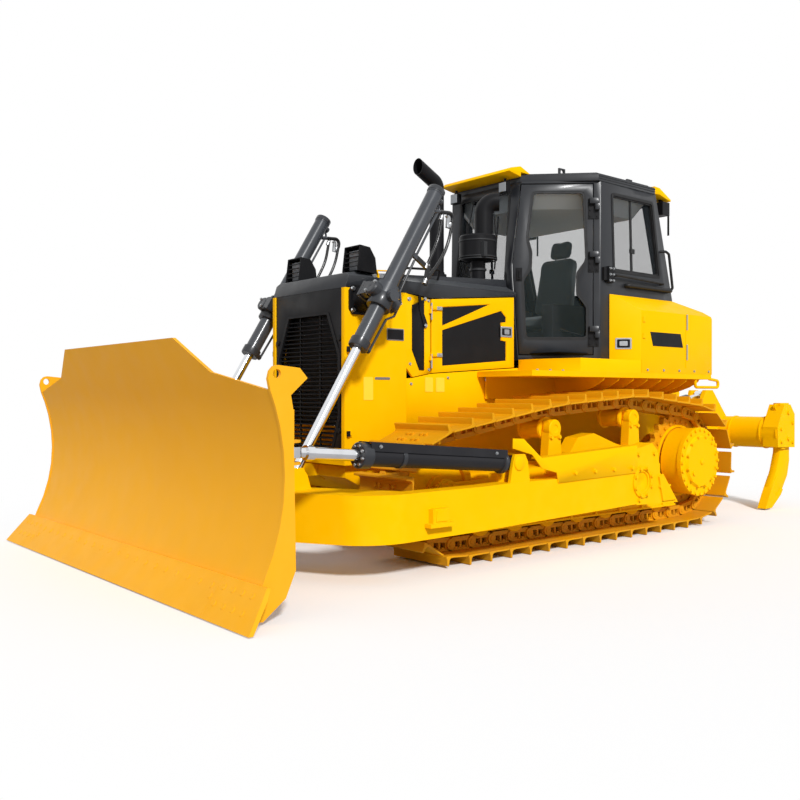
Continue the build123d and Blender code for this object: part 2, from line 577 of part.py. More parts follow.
def cab_glass():
    t = 6.0
    out = []
    pane = prism_xz([(-1850 - 0.3, WIN_TOP - 0.3), (-2440 + 0.4, WIN_TOP - 0.3), (-2560 + 0.4, 2222.3), (-1880 - 0.3, 2222.3)], CAB_Y - 30, CAB_Y - 30 + t)
    out += both(pane)
    mid = (cab_block(22) - cab_block(28))
    front = mid & prism_yz([(-299.7, WIN_TOP + 19.7), (299.7, WIN_TOP + 19.7), (299.7, 2140.1), (219.7, 1640.3), (-219.7, 1640.3), (-299.7, 2140.1)], -1350, -1000)
    rear = mid & prism_yz([(-739.7, WIN_TOP - 0.3), (739.7, WIN_TOP - 0.3), (739.7, 2150.3), (-739.7, 2150.3)], -2900, -2420)
    return out + [front, rear]


DOOR_AXIS = (668.0, 26.0)      # hinge line: along the door plane, and out from it
DOOR_HINGES = [1640.0, 2270.0, 2720.0]
HINGE_PIN = 10.0


def door_axis():
    e, n = door_frame()
    p = Vector(CAB_A[0], CAB_A[1], 0) + e * DOOR_AXIS[0] + n * DOOR_AXIS[1]
    return p.X, p.Y


def hinge_lug(s0, s1, z0, z1, d0, d1):
    return in_door([(s0, z0), (s1, z0), (s1, z1), (s0, z1)], d0, d1)


def door_hinges(fixed):
    x, y = door_axis()
    s, d = DOOR_AXIS
    out = []
    for z in DOOR_HINGES:
        if fixed:
            out.append(hinge_lug(s - 14, s + 24, z, z + 50, 1, d + 14) + rod((x, y, z + 1), (x, y, z + 100), HINGE_PIN))
            out.append(hinge_lug(s - 2, s + 24, z, z + 50, -20, 2))
        else:
            out.append(hinge_lug(s - 60, s + 14, z + 50.5, z + 98, d - 12, d + 14) - rod((x, y, z), (x, y, z + 110), HINGE_PIN + 0.05))
            out.append(hinge_lug(s - 60, s - 32, z + 50.5, z + 98, -10, d))
    return out


def cab_door():
    leaf = in_door(DOOR_OUT, -CAB_T, 0) - in_door(DOOR_WIN, -CAB_T - 5, 5)
    return fuse([leaf] + door_hinges(False))


def door_glass():
    return in_door(grow(DOOR_WIN, -0.3), -28, -22)


def seat():
    x = -1960.0
    base = box(x - 180, x + 180, -180, 180, CAB_Z0 + 46.3, 1760)
    cushion = box(x - 220, x + 260, -250, 250, 1760, 1880)
    back = prism_xz([(x - 220, 1840), (x - 90, 1860), (x - 210, 2480), (x - 320, 2480)], -240, 240)
    head = prism_xz([(x - 240, 2480), (x - 240, 2500), (x - 250, 2680), (x - 330, 2680), (x - 318, 2480)], -130, 130)
    return fuse([base, cushion, back, head])


def console():
    out = []
    dash = prism_xz([(-1290, CAB_Z0 + 46.3), (-1260, 1960), (-1400, 2010), (-1470, 1940), (-1440, CAB_Z0 + 46.3)], -170, 170)
    out.append(dash)
    for s in (-1, 1):
        out.append(box(-2150, -1600, min(s * 300, s * 430), max(s * 300, s * 430), CAB_Z0 + 46.3, 1960))
    return out


# ----------------------------------------------------------- deck and tank --
def deck():
    half = prism_xy([(-620, 482), (-600, DECK_Y), (-3080, DECK_Y), (-3080, 482)], DECK_Z0, DECK_Z1)
    upper = prism_xy([(-1100, 482), (-1100, 760), (-1180, DECK_Y), (-1990, DECK_Y), (-1990, 482)], DECK_Z1 - 1, CAB_Z0 - 0.3)
    # curved fender below the deck, over the chain
    fend = prism_xy([(-700, 482), (-700, 500), (-3080, 500), (-3080, 482)], 1125, DECK_Z0 + 1)
    half = half + upper + fend
    mid = prism_xy([(-1160, -482), (-1160, 482), (-3080, 482), (-3080, -482)], 1125, DECK_Z1)
    foot = box(-3080, -1200, -HULL_Y, HULL_Y, 1120.3, 1126)
    return fuse([mid, half, flip(half), foot])


def tank():
    side = [(-1812, DECK_Z1 + 107), (-1812, 2018), (-2740, 2018), (-3040, 1925), (-3100, 1860), (-3100, DECK_Z1 + 0.3), (-1995, DECK_Z1 + 0.3), (-1995, DECK_Z1 + 107)]
    t = prism_xz(side, 560, DECK_Y)
    t = t - prism_yz([(DECK_Y - 200, 2025), (DECK_Y + 5, 2025), (DECK_Y + 5, 1880), (DECK_Y, 1880)], -3200, -1700)
    t = t - prism_xy([(-1811, CAB_Y + 4), (-1990, DECK_Y), (-1700, DECK_Y + 10), (-1700, CAB_Y + 4)], 1300, 2100)
    rear = prism_xz([(-2762, DECK_Z1 + 0.3), (-2762, 2018), (-3040, 1925), (-3100, 1860), (-3100, DECK_Z1 + 0.3)], -570, 570)
    # the cab stands in the tank's bay
    bay = box(-2762, -1700, -CAB_Y - 4, CAB_Y + 4, CAB_Z0 - 0.4, 2100)
    return (fuse([t, flip(t), rear])) - bay


# ---------------------------------------------------------------- C-frame --
def cframe():
    # plan of the left half: outer run with its bend, then the inner run back
    bend = 400.0
    v = (1150.0, ARM_Y1)
    nose = (1700.0, 330.0)
    outer = FilletPolyline((-1465, ARM_Y1), v, nose, radius=bend)
    rest = Polyline(nose, (1740, 200), (1740, 0), (1420, 0), (1420, 260), (1200, 560), (850, 1215), (835, ARM_Y0), (-1465, ARM_Y0), (-1465, ARM_Y1))
    face = make_face(outer + rest)
    body = extrude(face, amount=330, dir=(0, 0, 1))
    body = Pos(0, 0, 225) * body
    keep = prism_xz([(-1465, 300), ARM_TOP[0], ARM_TOP[1], (1760, 545), (1760, 235), (275, 255)], -10, 1500)
    body = body & keep
    # trunnion housing at the rear end
    house = prism_xz([(-1461, 293), (-1461, 743), (-1522, 743), (-1667, 773), (-1740, 713), (-1779, 525), (-2032, 275)], ARM_Y0, ARM_Y1)
    body = body + house
    body = body - pin_y(PIVOT_X, PIVOT_Z, 78.05, ARM_Y0 - 10, ARM_Y1 + 10)
    # ears for the lift rod's eye
    x, y, z = LIFT_PIN
    for s in (-1, 1):
        body = body + prism_xz([(x - 120, 500), (x - 75, z + 20), (x - 40, z + 68), (x + 40, z + 68), (x + 75, z + 20), (x + 130, 500)],
                               y + s * 52 - 14, y + s * 52 + 14)
    body = body + pin_y(x, z, 22, y - 60, y + 60)
    # bracket for the angle cylinder's rear pin
    x, y, z = ANGLE_REAR
    for s in (-1, 1):
        body = body + prism_xz([(x - 120, 500), (x - 90, z + 10), (x - 60, z + 62), (x + 40, z + 62), (x + 60, z), (x + 100, 500)],
                               y + s * 52 - 12, y + s * 52 + 12)
    body = body + pin_y(x, z, 24, y - 60, y + 60) + Pos(x, y, z) * Sphere(36)
    # step on the outer face
    body = body + box(560, 760, ARM_Y1 - 1, ARM_Y1 + 60, 330, 350) + box(590, 730, ARM_Y1 - 1, ARM_Y1 + 42, 330, 440)
    both_ = body + flip(body)
    stub = rod((1700, 0, BALL_Z), (BALL_X, 0, BALL_Z), 52) + Pos(BALL_X, 0, BALL_Z) * Sphere(BALL_R)
    x, y, z = TILT_BASE
    post = prism_yz([(y - 75, 480), (y - 45, z + 45), (y + 45, z + 45), (y + 75, 480)], x - 80, x - 56) + box(1480, x - 56, y - 75, y + 75, 480, 546)
    pin = rod((x - 60, y, z), (x + 40, y, z), 24)
    return fuse([both_, stub, post, pin])


def arm_top(x):
    # upper edge of the arm at a station behind its bend
    (xa, za), (xb, zb) = ARM_TOP
    return za + (zb - za) * (x - xa) / (xb - xa)


def arm_guard():
    x0, x1 = -1452.0, -511.0
    pts = [(-34, 859), (-142, 854), (-328, 713), (x0, 762), (x0, arm_top(x0) - 40), (x1, arm_top(x1) - 40), (x1 + 20, 600), (-330, 640), (-230, 740), (-34, 790)]
    plate = prism_xz(pts, ARM_Y1 + 0.3, ARM_Y1 + 10)
    lip = prism_xz([(-328, 713), (x0, 762), (x0, 750), (-328, 701)], ARM_Y1 - 90, ARM_Y1 + 2)
    return fuse([plate, lip])


# --------------------------------------------------------------- cylinders --
def lift_barrel():
    t, e = LIFT_TRUNNION, LIFT_PIN
    top = along(t, e, -LIFT_TOP)
    nose = along(t, e, LIFT_NOSE)
    b = rod(top, nose, 60) + rod(along(t, e, -LIFT_TOP), along(t, e, -LIFT_TOP + 45), 63)
    b = b + rod(along(t, e, LIFT_NOSE - 55), nose, 68)
    b = b + rod(along(t, e, -90), along(t, e, 90), 84)
    b = b + rod((t[0], t[1] - 128, t[2]), (t[0], t[1] + 128, t[2]), 42)
    b = b - rod(along(t, e, -LIFT_TOP + 80), along(t, e, LIFT_NOSE + 5), 33)
    return fuse([b] + lift_pipes())


def lift_pipes():
    # head port's pipe behind the barrel, two hoses hanging from it, and their clamp arm
    t, e = LIFT_TRUNNION, LIFT_PIN
    n = math.dist(t, e)
    dx, dz = (t[0] - e[0]) / n, (t[2] - e[2]) / n          # towards the head
    y = t[1]

    def at(s, q):
        # point at s along the barrel above the trunnion and q behind its axis
        return (t[0] + dx * s - dz * q, y, t[2] + dz * s + dx * q)

    def tube(r, rad, *pts):
        d = (Vector(*pts[1]) - Vector(*pts[0])).normalized()
        return sweep(Plane(origin=pts[0], z_dir=d) * Circle(r), FilletPolyline(*pts, radius=rad))
    head, turn = at(800, 40), at(923, 220)
    out = [tube(15, 38, head, turn, (turn[0] + 14, y, turn[2] - 74))]
    out.append(tube(12, 600, (turn[0] + 13, y, turn[2] - 70), (turn[0] + 62, y, turn[2] - 285), at(318, 262)))
    mid = at(858, 133)
    out.append(tube(12, 480, mid, (mid[0] + 40, y, mid[2] - 200), at(418, 214)))
    out.append(tube(9, 30, at(880, 50), at(870, 92), at(424, 92), at(424, 40)))
    bar = lambda p, q, w: box(0, math.dist(p, q), -11, 11, -w, w)
    for p, q, w in ((at(420, 40), at(420, 236), 17), (at(440, 224), at(300, 272), 15)):
        a = math.degrees(math.atan2(q[2] - p[2], q[0] - p[0]))
        out.append(Pos(*p) * (Rot(0, -a, 0) * bar(p, q, w)))
    return out


def lift_rod():
    t, e = LIFT_TRUNNION, LIFT_PIN
    r = rod(along(t, e, -60), along(t, e, math.dist(t, e) - 50), 32.95)
    eye = pin_y(e[0], e[2], 64, e[1] - 32, e[1] + 32)
    return (r + eye) - pin_y(e[0], e[2], 44, e[1] - 40, e[1] + 40)


def lift_bracket():
    x, y, z = LIFT_TRUNNION
    arm = prism_xz([(x - 120, z - 150), (x - 120, z + 90), (x - 50, z + 110), (x + 60, z + 80), (x + 90, z), (x + 20, z - 90)], y - 128, y - 100)
    base = box(x - 120, x + 60, HOOD_Y + 0.3, y - 99, z - 130, z + 70)
    fork = prism_xz([(x - 70, z - 70), (x - 70, z + 70), (x + 70, z + 70), (x + 70, z - 70)], y + 100, y + 128)
    web = box(x - 118, x - 92, y - 128, y + 128, z - 120, z - 60) + box(x - 118, x - 50, y + 100, y + 128, z - 120, z - 20)
    b = fuse([arm, base, fork, web])
    return b - pin_y(x, z, 42.05, y - 140, y + 140)


def angle_barrel():
    r, e = ANGLE_REAR, ANGLE_EYE
    g = along(r, e, ANGLE_GLAND)
    b = rod(along(r, e, 110), g, 64) + rod(along(r, e, ANGLE_GLAND - 70), g, 72)
    eye = pin_y(r[0], r[2], 52, r[1] - 32, r[1] + 32)
    b = b + eye + rod(along(r, e, 30), along(r, e, 120), 32)
    b = b - pin_y(r[0], r[2], 28, r[1] - 60, r[1] + 60) - Pos(*r) * Sphere(36.05)
    b = b - rod(along(r, e, 120), along(r, e, ANGLE_GLAND + 5), 36)
    # guard channel over the barrel
    s = (e[2] - r[2]) / (e[0] - r[0])

    def zt(x, h):
        return r[2] + s * (x - r[0]) + h
    x0, x1 = r[0] + 115, r[0] + 1290
    plate = prism_xz([(x0, zt(x0, 78)), (x1, zt(x1, 78)), (x1, zt(x1, 86)), (x0, zt(x0, 86))], r[1] - 62, r[1] + 66)
    lip = prism_xz([(x0, zt(x0, 30)), (x1, zt(x1, 30)), (x1, zt(x1, 86)), (x0, zt(x0, 86))], r[1] + 58, r[1] + 66)
    post = prism_xz([(x0 + 60, zt(x0, 54)), (x0 + 110, zt(x0, 54)), (x0 + 110, zt(x0, 80)), (x0 + 60, zt(x0, 80))], r[1] - 20, r[1] + 20)
    post2 = Pos(1000, 0, s * 1000) * post
    return fuse([b, plate, lip, post, post2])


def angle_rod():
    r, e = ANGLE_REAR, ANGLE_EYE
    n = math.dist(r, e)
    body = rod(along(r, e, 700), along(r, e, n - 110), 35.95) + rod(along(r, e, n - 130), along(r, e, n - 50), 32) + rod(along(r, e, n - 150), along(r, e, n - 100), 44)
    eye = rod((e[0], e[1], e[2] - 30), (e[0], e[1], e[2] + 30), ANGLE_EYE_R)
    return (body + eye) - rod((e[0], e[1], e[2] - 50), (e[0], e[1], e[2] + 50), ANGLE_BORE)


def tilt_barrel():
    b, e = TILT_BASE, TILT_EYE
    n = math.dist(b, e)
    c = rod(along(b, e, 40), along(b, e, n * 0.66), 44) + rod((b[0] - 28, b[1], b[2]), (b[0] + 28, b[1], b[2]), 50)
    c = c - rod((b[0] - 40, b[1], b[2]), (b[0] + 50, b[1], b[2]), 24.05)
    return c - rod(along(b, e, 90), along(b, e, n * 0.66 + 5), 28)


def tilt_rod():
    b, e = TILT_BASE, TILT_EYE
    n = math.dist(b, e)
    c = rod(along(b, e, n * 0.5), along(b, e, n - 40), 27.95) + rod((e[0] - 26, e[1], e[2]), (e[0] + 26, e[1], e[2]), 52)
    return c - rod((e[0] - 40, e[1], e[2]), (e[0] + 60, e[1], e[2]), 32)


# ------------------------------------------------------------------ blade --
BLADE_HALF = 1700.0
FACE = [(2077, 1177), (1991, 742), (2157, 150)]     # mouldboard arc, top / deepest / edge: x, z
SPILL = (2196.0, 1480.0)     # top of the straight spill guard above the arc
BLADE_T = 22.0
EYE_R = 24.0
TIP_X = 2300.0
EDGE_Z = 202.0               # upper side of the cutting edge
EAR_HOLE = (2043.0, 1262.0)  # lifting eye in each end plate
END_HALF = (1797.0, 1880.0)  # end bits, at their upper side and at the ground


def mouldboard():
    (x0, z0), (x1, z1), (x2, z2) = FACE
    y = BLADE_HALF
    xs, zs = SPILL
    front = Line((xs, y, zs), (x0, y, z0)) + ThreePointArc((x0, y, z0), (x1, y, z1), (x2, y, z2))
    back = ThreePointArc((x2 - BLADE_T, y, z2), (x1 - BLADE_T, y, z1), (x0 - BLADE_T, y, z0)) + Line((x0 - BLADE_T, y, z0), (xs - BLADE_T, y, zs))
    f = make_face(front + Line((x2, y, z2), (x2 - BLADE_T, y, z2)) + back + Line((xs - BLADE_T, y, zs), (xs, y, zs)))
    plate = extrude(f, amount=2 * y, dir=(0, -1, 0))
    # top line: spill guard in the middle, then down to the ends
    half = [(856, 1480), (1160, 1280), (BLADE_HALF + 5, 1177)]
    cut = prism_yz([half[0], half[1], half[2], (BLADE_HALF + 5, 1600), (856, 1600)], 1900, 2400)
    return plate - cut - flip(cut)


def ball_socket():
    # cup and cap round the C-frame's ball, turned about the machine's long axis
    r, lip = BALL_R + SEAT, 32.0
    a = math.acos(-lip / r) / 2
    start, mid = (-lip, math.sqrt(r * r - lip * lip)), (r * math.cos(a), r * math.sin(a))
    at = lambda p: (BALL_X + p[0], 0, BALL_Z + p[1])
    back = 1960 - BALL_X
    shape = ThreePointArc(at(start), at(mid), at((r, 0)))
    shape = shape + Polyline(at((r, 0)), at((back, 0)), at((back, 175)), at((98, 175)), at((75, 138)), at((-lip, 138)), at(start))
    return revolve(make_face(shape), axis=Axis((BALL_X, 0, BALL_Z), (1, 0, 0)), revolution_arc=360)


def blade():
    b = mouldboard()
    end = [(face_x(z) + 4, z) for z in (230, 350, 480, 610, 742, 870, 1000, 1100, 1177)]
    end += [(2094, 1236), (2084, 1276), (2062, 1300), (2035, 1306), (1905, 1294), (1857, 1242), (1959, 1154), (1945, 1080), (1929, 256), (1990, 120),
            (2125, 20), (2230, 26), (face_x(150) - 3, 150), (face_x(EDGE_Z) - 3, EDGE_Z + 6)]
    ends = prism_xz(end, BLADE_HALF - 1, BLADE_HALF + 20) - pin_y(EAR_HOLE[0], EAR_HOLE[1], EYE_R, BLADE_HALF - 10, BLADE_HALF + 30)
    # back: two box rails, ribs, the ball's socket and the cylinders' brackets
    def rail(z0, z1, x0, x1a, x1b):
        return prism_xz([(x0, z0), (x1a, z0), (x1b, z1), (x0, z1)], -BLADE_HALF + 2, BLADE_HALF - 2)
    rails = [rail(230, 560, 1929, face_x(230) - 18, face_x(560) - 18), rail(900, 1080, 1925, face_x(900) - 12, face_x(1080) - 12)]
    ribs = [prism_xz([(1925, 540), (face_x(540) - 10, 540), (face_x(729) - 10, 729), (face_x(920) - 10, 920), (1925, 920)], y - 10, y + 10) for y in (-1330, -820, -430, 0, 430, 820, 1330)]
    sock = ball_socket()
    x, y, z = ANGLE_EYE
    clev = []
    for s in (-1, 1):
        zz = z + s * (CLEVIS_GAP + 8)
        clev += both(prism_xy([(x - 45, y - 40), (x - 45, y + 40), (x, y + 70), (1960, y + 110), (1960, y - 110), (x, y - 70)], zz - 8, zz + 8))
    clev += both(rod((x, y, z - CLEVIS_GAP - 20), (x, y, z + CLEVIS_GAP + 20), ANGLE_PIN))
    plates = [s for s in both(box(1925, 1935, y - 130, y + 130, 540, 920))]
    x, y, z = TILT_EYE
    tilt = box(1925 - 20, 1935, y - 70, y + 70, z - 90, z + 70) + rod((x - 32, y, z), (1930, y, z), 20)
    body = fuse([b] + both(ends) + rails + ribs + [sock, tilt] + clev + plates)
    return body


def face_x(z):
    # the mouldboard's front at a height: circle through the three face points
    (ax, az), (bx, bz), (cx, cz) = FACE
    d = 2 * (ax * (bz - cz) + bx * (cz - az) + cx * (az - bz))
    a2, b2, c2 = ax * ax + az * az, bx * bx + bz * bz, cx * cx + cz * cz
    ux = (a2 * (bz - cz) + b2 * (cz - az) + c2 * (az - bz)) / d
    uz = (a2 * (cx - bx) + b2 * (ax - cx) + c2 * (bx - ax)) / d
    return ux - math.sqrt((ax - ux) ** 2 + (az - uz) ** 2 - (z - uz) ** 2)


def cutting_edge():
    # bolted plates: the middle one and the two end bits that reach past the end plates
    z = FACE[2][1]
    prof = [(face_x(EDGE_Z) + 0.6, EDGE_Z), (face_x(z) + 0.6, z - 0.4), (TIP_X - 26, 6), (TIP_X, 6), (face_x(EDGE_Z) + 20, EDGE_Z + 5)]
    mid = prism_xz(prof, -1380, 1380)
    a, b = END_HALF
    end = prism_xz(prof, 1382, b + 5) - prism_yz([(a, EDGE_Z + 40), (a, EDGE_Z), (b, 0), (b + 60, 0), (b + 60, EDGE_Z + 40)], 2000, 2400)
    return [mid, end, flip(end)]


# ----------------------------------------------------------------- ripper --
def ripper_mount():
    out = box(HULL_X0 - 60, HULL_X0 - 0.3, -HULL_Y, HULL_Y, 480, 1000)
    for y in (-460, -200, 200, 460):
        out = out + prism_xz([(HULL_X0 - 50, 500), (HULL_X0 - 50, 1300), (RIP_X - 10, 1250), (RIP_X - 80, 1180), (RIP_X - 60, 1100), (RIP_X - 30, 900), (RIP_X - 75, 640), (RIP_X - 60, 540), (RIP_X, 500)],
                             y - 15, y + 15)
    out = out + box(HULL_X0 - 60, HULL_X0 - 35, -475, 475, 500, 1290)
    return out - pin_y(RIP_X, RIP_Z, 32.05, -500, 500) - pin_y(RIP_CYL_BASE[0], RIP_CYL_BASE[1], 26.05, -500, 500)


def ripper_beam():
    beam = pin_y(BEAM_X, BEAM_Z, BEAM_R, -BEAM_HALF, BEAM_HALF)
    parts = [beam]
    for s in (-1, 1):
        # arms forward to the hinge, with the cylinder's ears above
        parts.append(side_y(prism_xz([(RIP_X - 70, RIP_Z - 30), (RIP_X - 50, RIP_Z + 70), (RIP_X + 40, RIP_Z + 65), (RIP_X + 62, RIP_Z), (RIP_X + 20, RIP_Z - 65), (-4000, 600), (-4480, 640), (-4480, 900), (-4180, 1210), (-4050, 1210), (-3890, 950)],
                                     RIP_CYL_Y + RIP_EAR_GAP, RIP_CYL_Y + RIP_EAR_GAP + 42), s))
        parts.append(side_y(prism_xz([(-4480, 640), (-4480, 900), (-4180, 1210), (-4050, 1210), (-3960, 950), (-4050, 700)],
                                     RIP_CYL_Y - RIP_EAR_GAP - 32, RIP_CYL_Y - RIP_EAR_GAP), s))
        parts.append(side_y(pin_y(RIP_X, RIP_Z, 32, RIP_CYL_Y - 145, RIP_CYL_Y + 145), s))
    f = fuse(parts)
    # shank pockets
    pocket = [(BEAM_X + 150, BEAM_Z - 140), (BEAM_X + 160, BEAM_Z + 60), (BEAM_X + 20, BEAM_Z + 290), (BEAM_X - 110, BEAM_Z + 290), (BEAM_X - 200, BEAM_Z + 190), (BEAM_X - 200, BEAM_Z - 155)]
    for y in SHANK_Y:
        f = f + prism_xz(pocket, y - 80, y + 80)
        f = f - box(BEAM_X - 172, BEAM_X + 30, y - SHANK_T / 2 - SEAT, y + SHANK_T / 2 + SEAT, BEAM_Z - 300, BEAM_Z + 330)
    for s in (-1, 1):
        f = f + side_y(pin_y(RIP_CYL_EYE[0], RIP_CYL_EYE[1], RIP_PIN, RIP_CYL_Y - RIP_EAR_GAP - 20, RIP_CYL_Y + RIP_EAR_GAP + 20), s)
    return f


def ripper_shank(y):
    x = BEAM_X
    pts = [(x + 20, 1075), (x - 160, 1075), (x - 165, 640), (x - 170, 480), (x - 130, 330), (x - 20, 190), (x + 20, 140), (x + 200, 22), (x + 320, 18), (x + 240, 150), (x + 100, 380), (x + 30, 560), (x + 20, 640)]
    return prism_xz(pts, y - SHANK_T / 2, y + SHANK_T / 2)


def ripper_barrel(y):
    b, e = (RIP_CYL_BASE[0], y, RIP_CYL_BASE[1]), (RIP_CYL_EYE[0], y, RIP_CYL_EYE[1])
    n = math.dist(b, e)
    c = rod(along(b, e, 40), along(b, e, RIP_BARREL_L), RIP_BARREL_R) + pin_y(b[0], b[2], 56, y - 100, y + 100)
    c = c - pin_y(b[0], b[2], 26.05, y - 120, y + 120)
    return c - rod(along(b, e, 90), along(b, e, RIP_BARREL_L + 5), 32)


def ripper_rod(y):
    b, e = (RIP_CYL_BASE[0], y, RIP_CYL_BASE[1]), (RIP_CYL_EYE[0], y, RIP_CYL_EYE[1])
    n = math.dist(b, e)
    c = rod(along(b, e, RIP_BARREL_L - 130), along(b, e, n - 40), 31.95) + pin_y(e[0], e[2], RIP_EYE_R, y - 38, y + 38)
    return c - pin_y(e[0], e[2], RIP_EYE_BORE, y - 60, y + 60)


def ripper_pins(y):
    return pin_y(RIP_CYL_BASE[0], RIP_CYL_BASE[1], 26, y - 145, y + 145)


# ------------------------------------------------------------------ nodes --
def nodes():
    n = {}
    n["main_frame"] = [hull()]
    n["engine_block"] = [engine()]
    n["radiator_housing"] = [radiator_housing()]
    n["grille"] = [grille()]
    n["hood"] = [hood()]
    n["corner_plates"] = both(corner_plate())
    n["side_covers"] = both(side_cover()) + both(nose_panel())
    n["engine_door_left"] = [engine_door()]
    n["engine_door_right"] = [flip(engine_door())]
    n["exhaust_pipe"] = [exhaust()]
    n["pre_cleaner"] = [pre_cleaner()]
    n["work_lamps"] = work_lamps()
    n["cab_frame"] = [cab_frame()]
    n["cab_roof"] = [cab_roof()]
    n["visors"] = visors()
    n["cab_glass"] = cab_glass()
    n["cab_door_left"] = [cab_door()]
    n["cab_door_right"] = [flip(cab_door())]
    n["door_glass_left"] = [door_glass()]
    n["door_glass_right"] = [flip(door_glass())]
    n["seat"] = [seat()]
    n["console"] = console()
    n["deck"] = [deck()]
    n["fuel_tank"] = [tank()]
    n["track_frames"] = both(track_frame())
    n["track_left"] = [track(1)]
    n["track_right"] = [track(-1)]
    n["sprockets"] = both(sprocket())
    n["final_drives"] = both(final_drive())
    n["idlers"] = both(idler())
    n["track_rollers"] = rollers()
    n["lift_brackets"] = both(lift_bracket())
    n["ripper_mount"] = [ripper_mount()] + [ripper_pins(s * RIP_CYL_Y) for s in (-1, 1)]
    n["c_frame"] = [cframe()]
    n["arm_guards"] = both(arm_guard())
    n["lift_barrels"] = both(lift_barrel())
    n["lift_rods"] = both(lift_rod())
    n["angle_barrel_left"] = [angle_barrel()]
    n["angle_barrel_right"] = [flip(angle_barrel())]
    n["angle_rod_left"] = [angle_rod()]
    n["angle_rod_right"] = [flip(angle_rod())]
    n["tilt_barrel"] = [tilt_barrel()]
    n["tilt_rod"] = [tilt_rod()]
    n["blade"] = [blade()]
    n["cutting_edges"] = cutting_edge()
    n["ripper_beam"] = [ripper_beam()]
    n["ripper_shanks"] = [ripper_shank(y) for y in SHANK_Y]
    n["ripper_barrels"] = [ripper_barrel(s * RIP_CYL_Y) for s in (-1, 1)]
    n["ripper_rods"] = [ripper_rod(s * RIP_CYL_Y) for s in (-1, 1)]
    return n


def main():
    os.makedirs("parts", exist_ok=True)
    for name, solids in nodes().items():
        flat = []
        for s in solids:
            flat += list(s.solids())
        c = Compound(children=[Pos(SHIFT_X, 0, 0) * s for s in flat]) if len(flat) > 1 else Pos(SHIFT_X, 0, 0) * flat[0]
        export_step(c, os.path.join("parts", name + ".step"))


if __name__ == "__main__":
    main()
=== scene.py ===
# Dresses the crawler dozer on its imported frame: paint and metal finishes, the
# running gear, fasteners, cab fittings, hoses and wear parts.
# Lengths are in millimetres along the machine until at() places them.
import bpy
import bmesh
import math
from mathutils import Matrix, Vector


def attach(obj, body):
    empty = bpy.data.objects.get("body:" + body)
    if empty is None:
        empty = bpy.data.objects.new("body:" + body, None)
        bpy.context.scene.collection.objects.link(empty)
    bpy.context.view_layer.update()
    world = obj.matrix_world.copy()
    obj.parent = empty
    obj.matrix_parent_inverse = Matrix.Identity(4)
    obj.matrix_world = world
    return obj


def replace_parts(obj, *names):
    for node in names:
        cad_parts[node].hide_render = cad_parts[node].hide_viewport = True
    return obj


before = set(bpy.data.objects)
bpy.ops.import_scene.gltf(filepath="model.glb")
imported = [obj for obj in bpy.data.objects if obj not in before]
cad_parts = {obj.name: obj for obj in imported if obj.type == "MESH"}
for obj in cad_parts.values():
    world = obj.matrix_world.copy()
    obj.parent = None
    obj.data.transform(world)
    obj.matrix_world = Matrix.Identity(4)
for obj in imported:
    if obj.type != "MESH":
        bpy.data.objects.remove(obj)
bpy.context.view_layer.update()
SHIFT = 1170.0


def at(x, y, z):
    # a point of the machine, in metres in the frame
    return Vector((x + SHIFT, y, z)) / 1000


def across(k, near, far):
    # the two stations of a piece on side k of the machine, in rising order
    return sorted((k * near, k * far))


def show(name, data):
    o = bpy.data.objects.new(name, data)
    bpy.context.scene.collection.objects.link(o)
    return o


def soften(o, width, degrees):
    # a small rounding of every corner sharper than the angle
    b = o.modifiers.new("soft_edges", "BEVEL")
    b.width, b.segments, b.limit_method, b.angle_limit = width / 1000, 2, "ANGLE", math.radians(degrees)
    b.harden_normals = True


def add_node(tree, kind, values=(), **settings):
    # a node with its settings, then the values of its inputs by label or number
    n = tree.nodes.new(kind)
    for label, value in settings.items():
        setattr(n, label, value)
    for label, value in dict(values).items():
        n.inputs[label].default_value = value
    return n


def set_camera():
    lens = bpy.data.cameras.new("view")
    lens.lens, lens.sensor_width = 40.19, 36.0
    cam = show("view", lens)
    cam.location = (5.6334, 5.5685, 1.1517)
    pitch = math.radians(-0.286)
    look = Vector((-0.643, -0.766, 0)).normalized() * math.cos(pitch) + Vector((0, 0, math.sin(pitch)))
    cam.rotation_euler = look.to_track_quat("-Z", "Y").to_euler()
    bpy.context.scene.camera = cam


set_camera()

# ------------------------------------------------------------- finishes --


def rgb(r, g, b):
    # display values to linear light
    parts = [c / 255 for c in (r, g, b)]
    return tuple(c / 12.92 if c <= 0.0393 else ((c + 0.055) / 1.055) ** 2.4 for c in parts) + (1.0,)


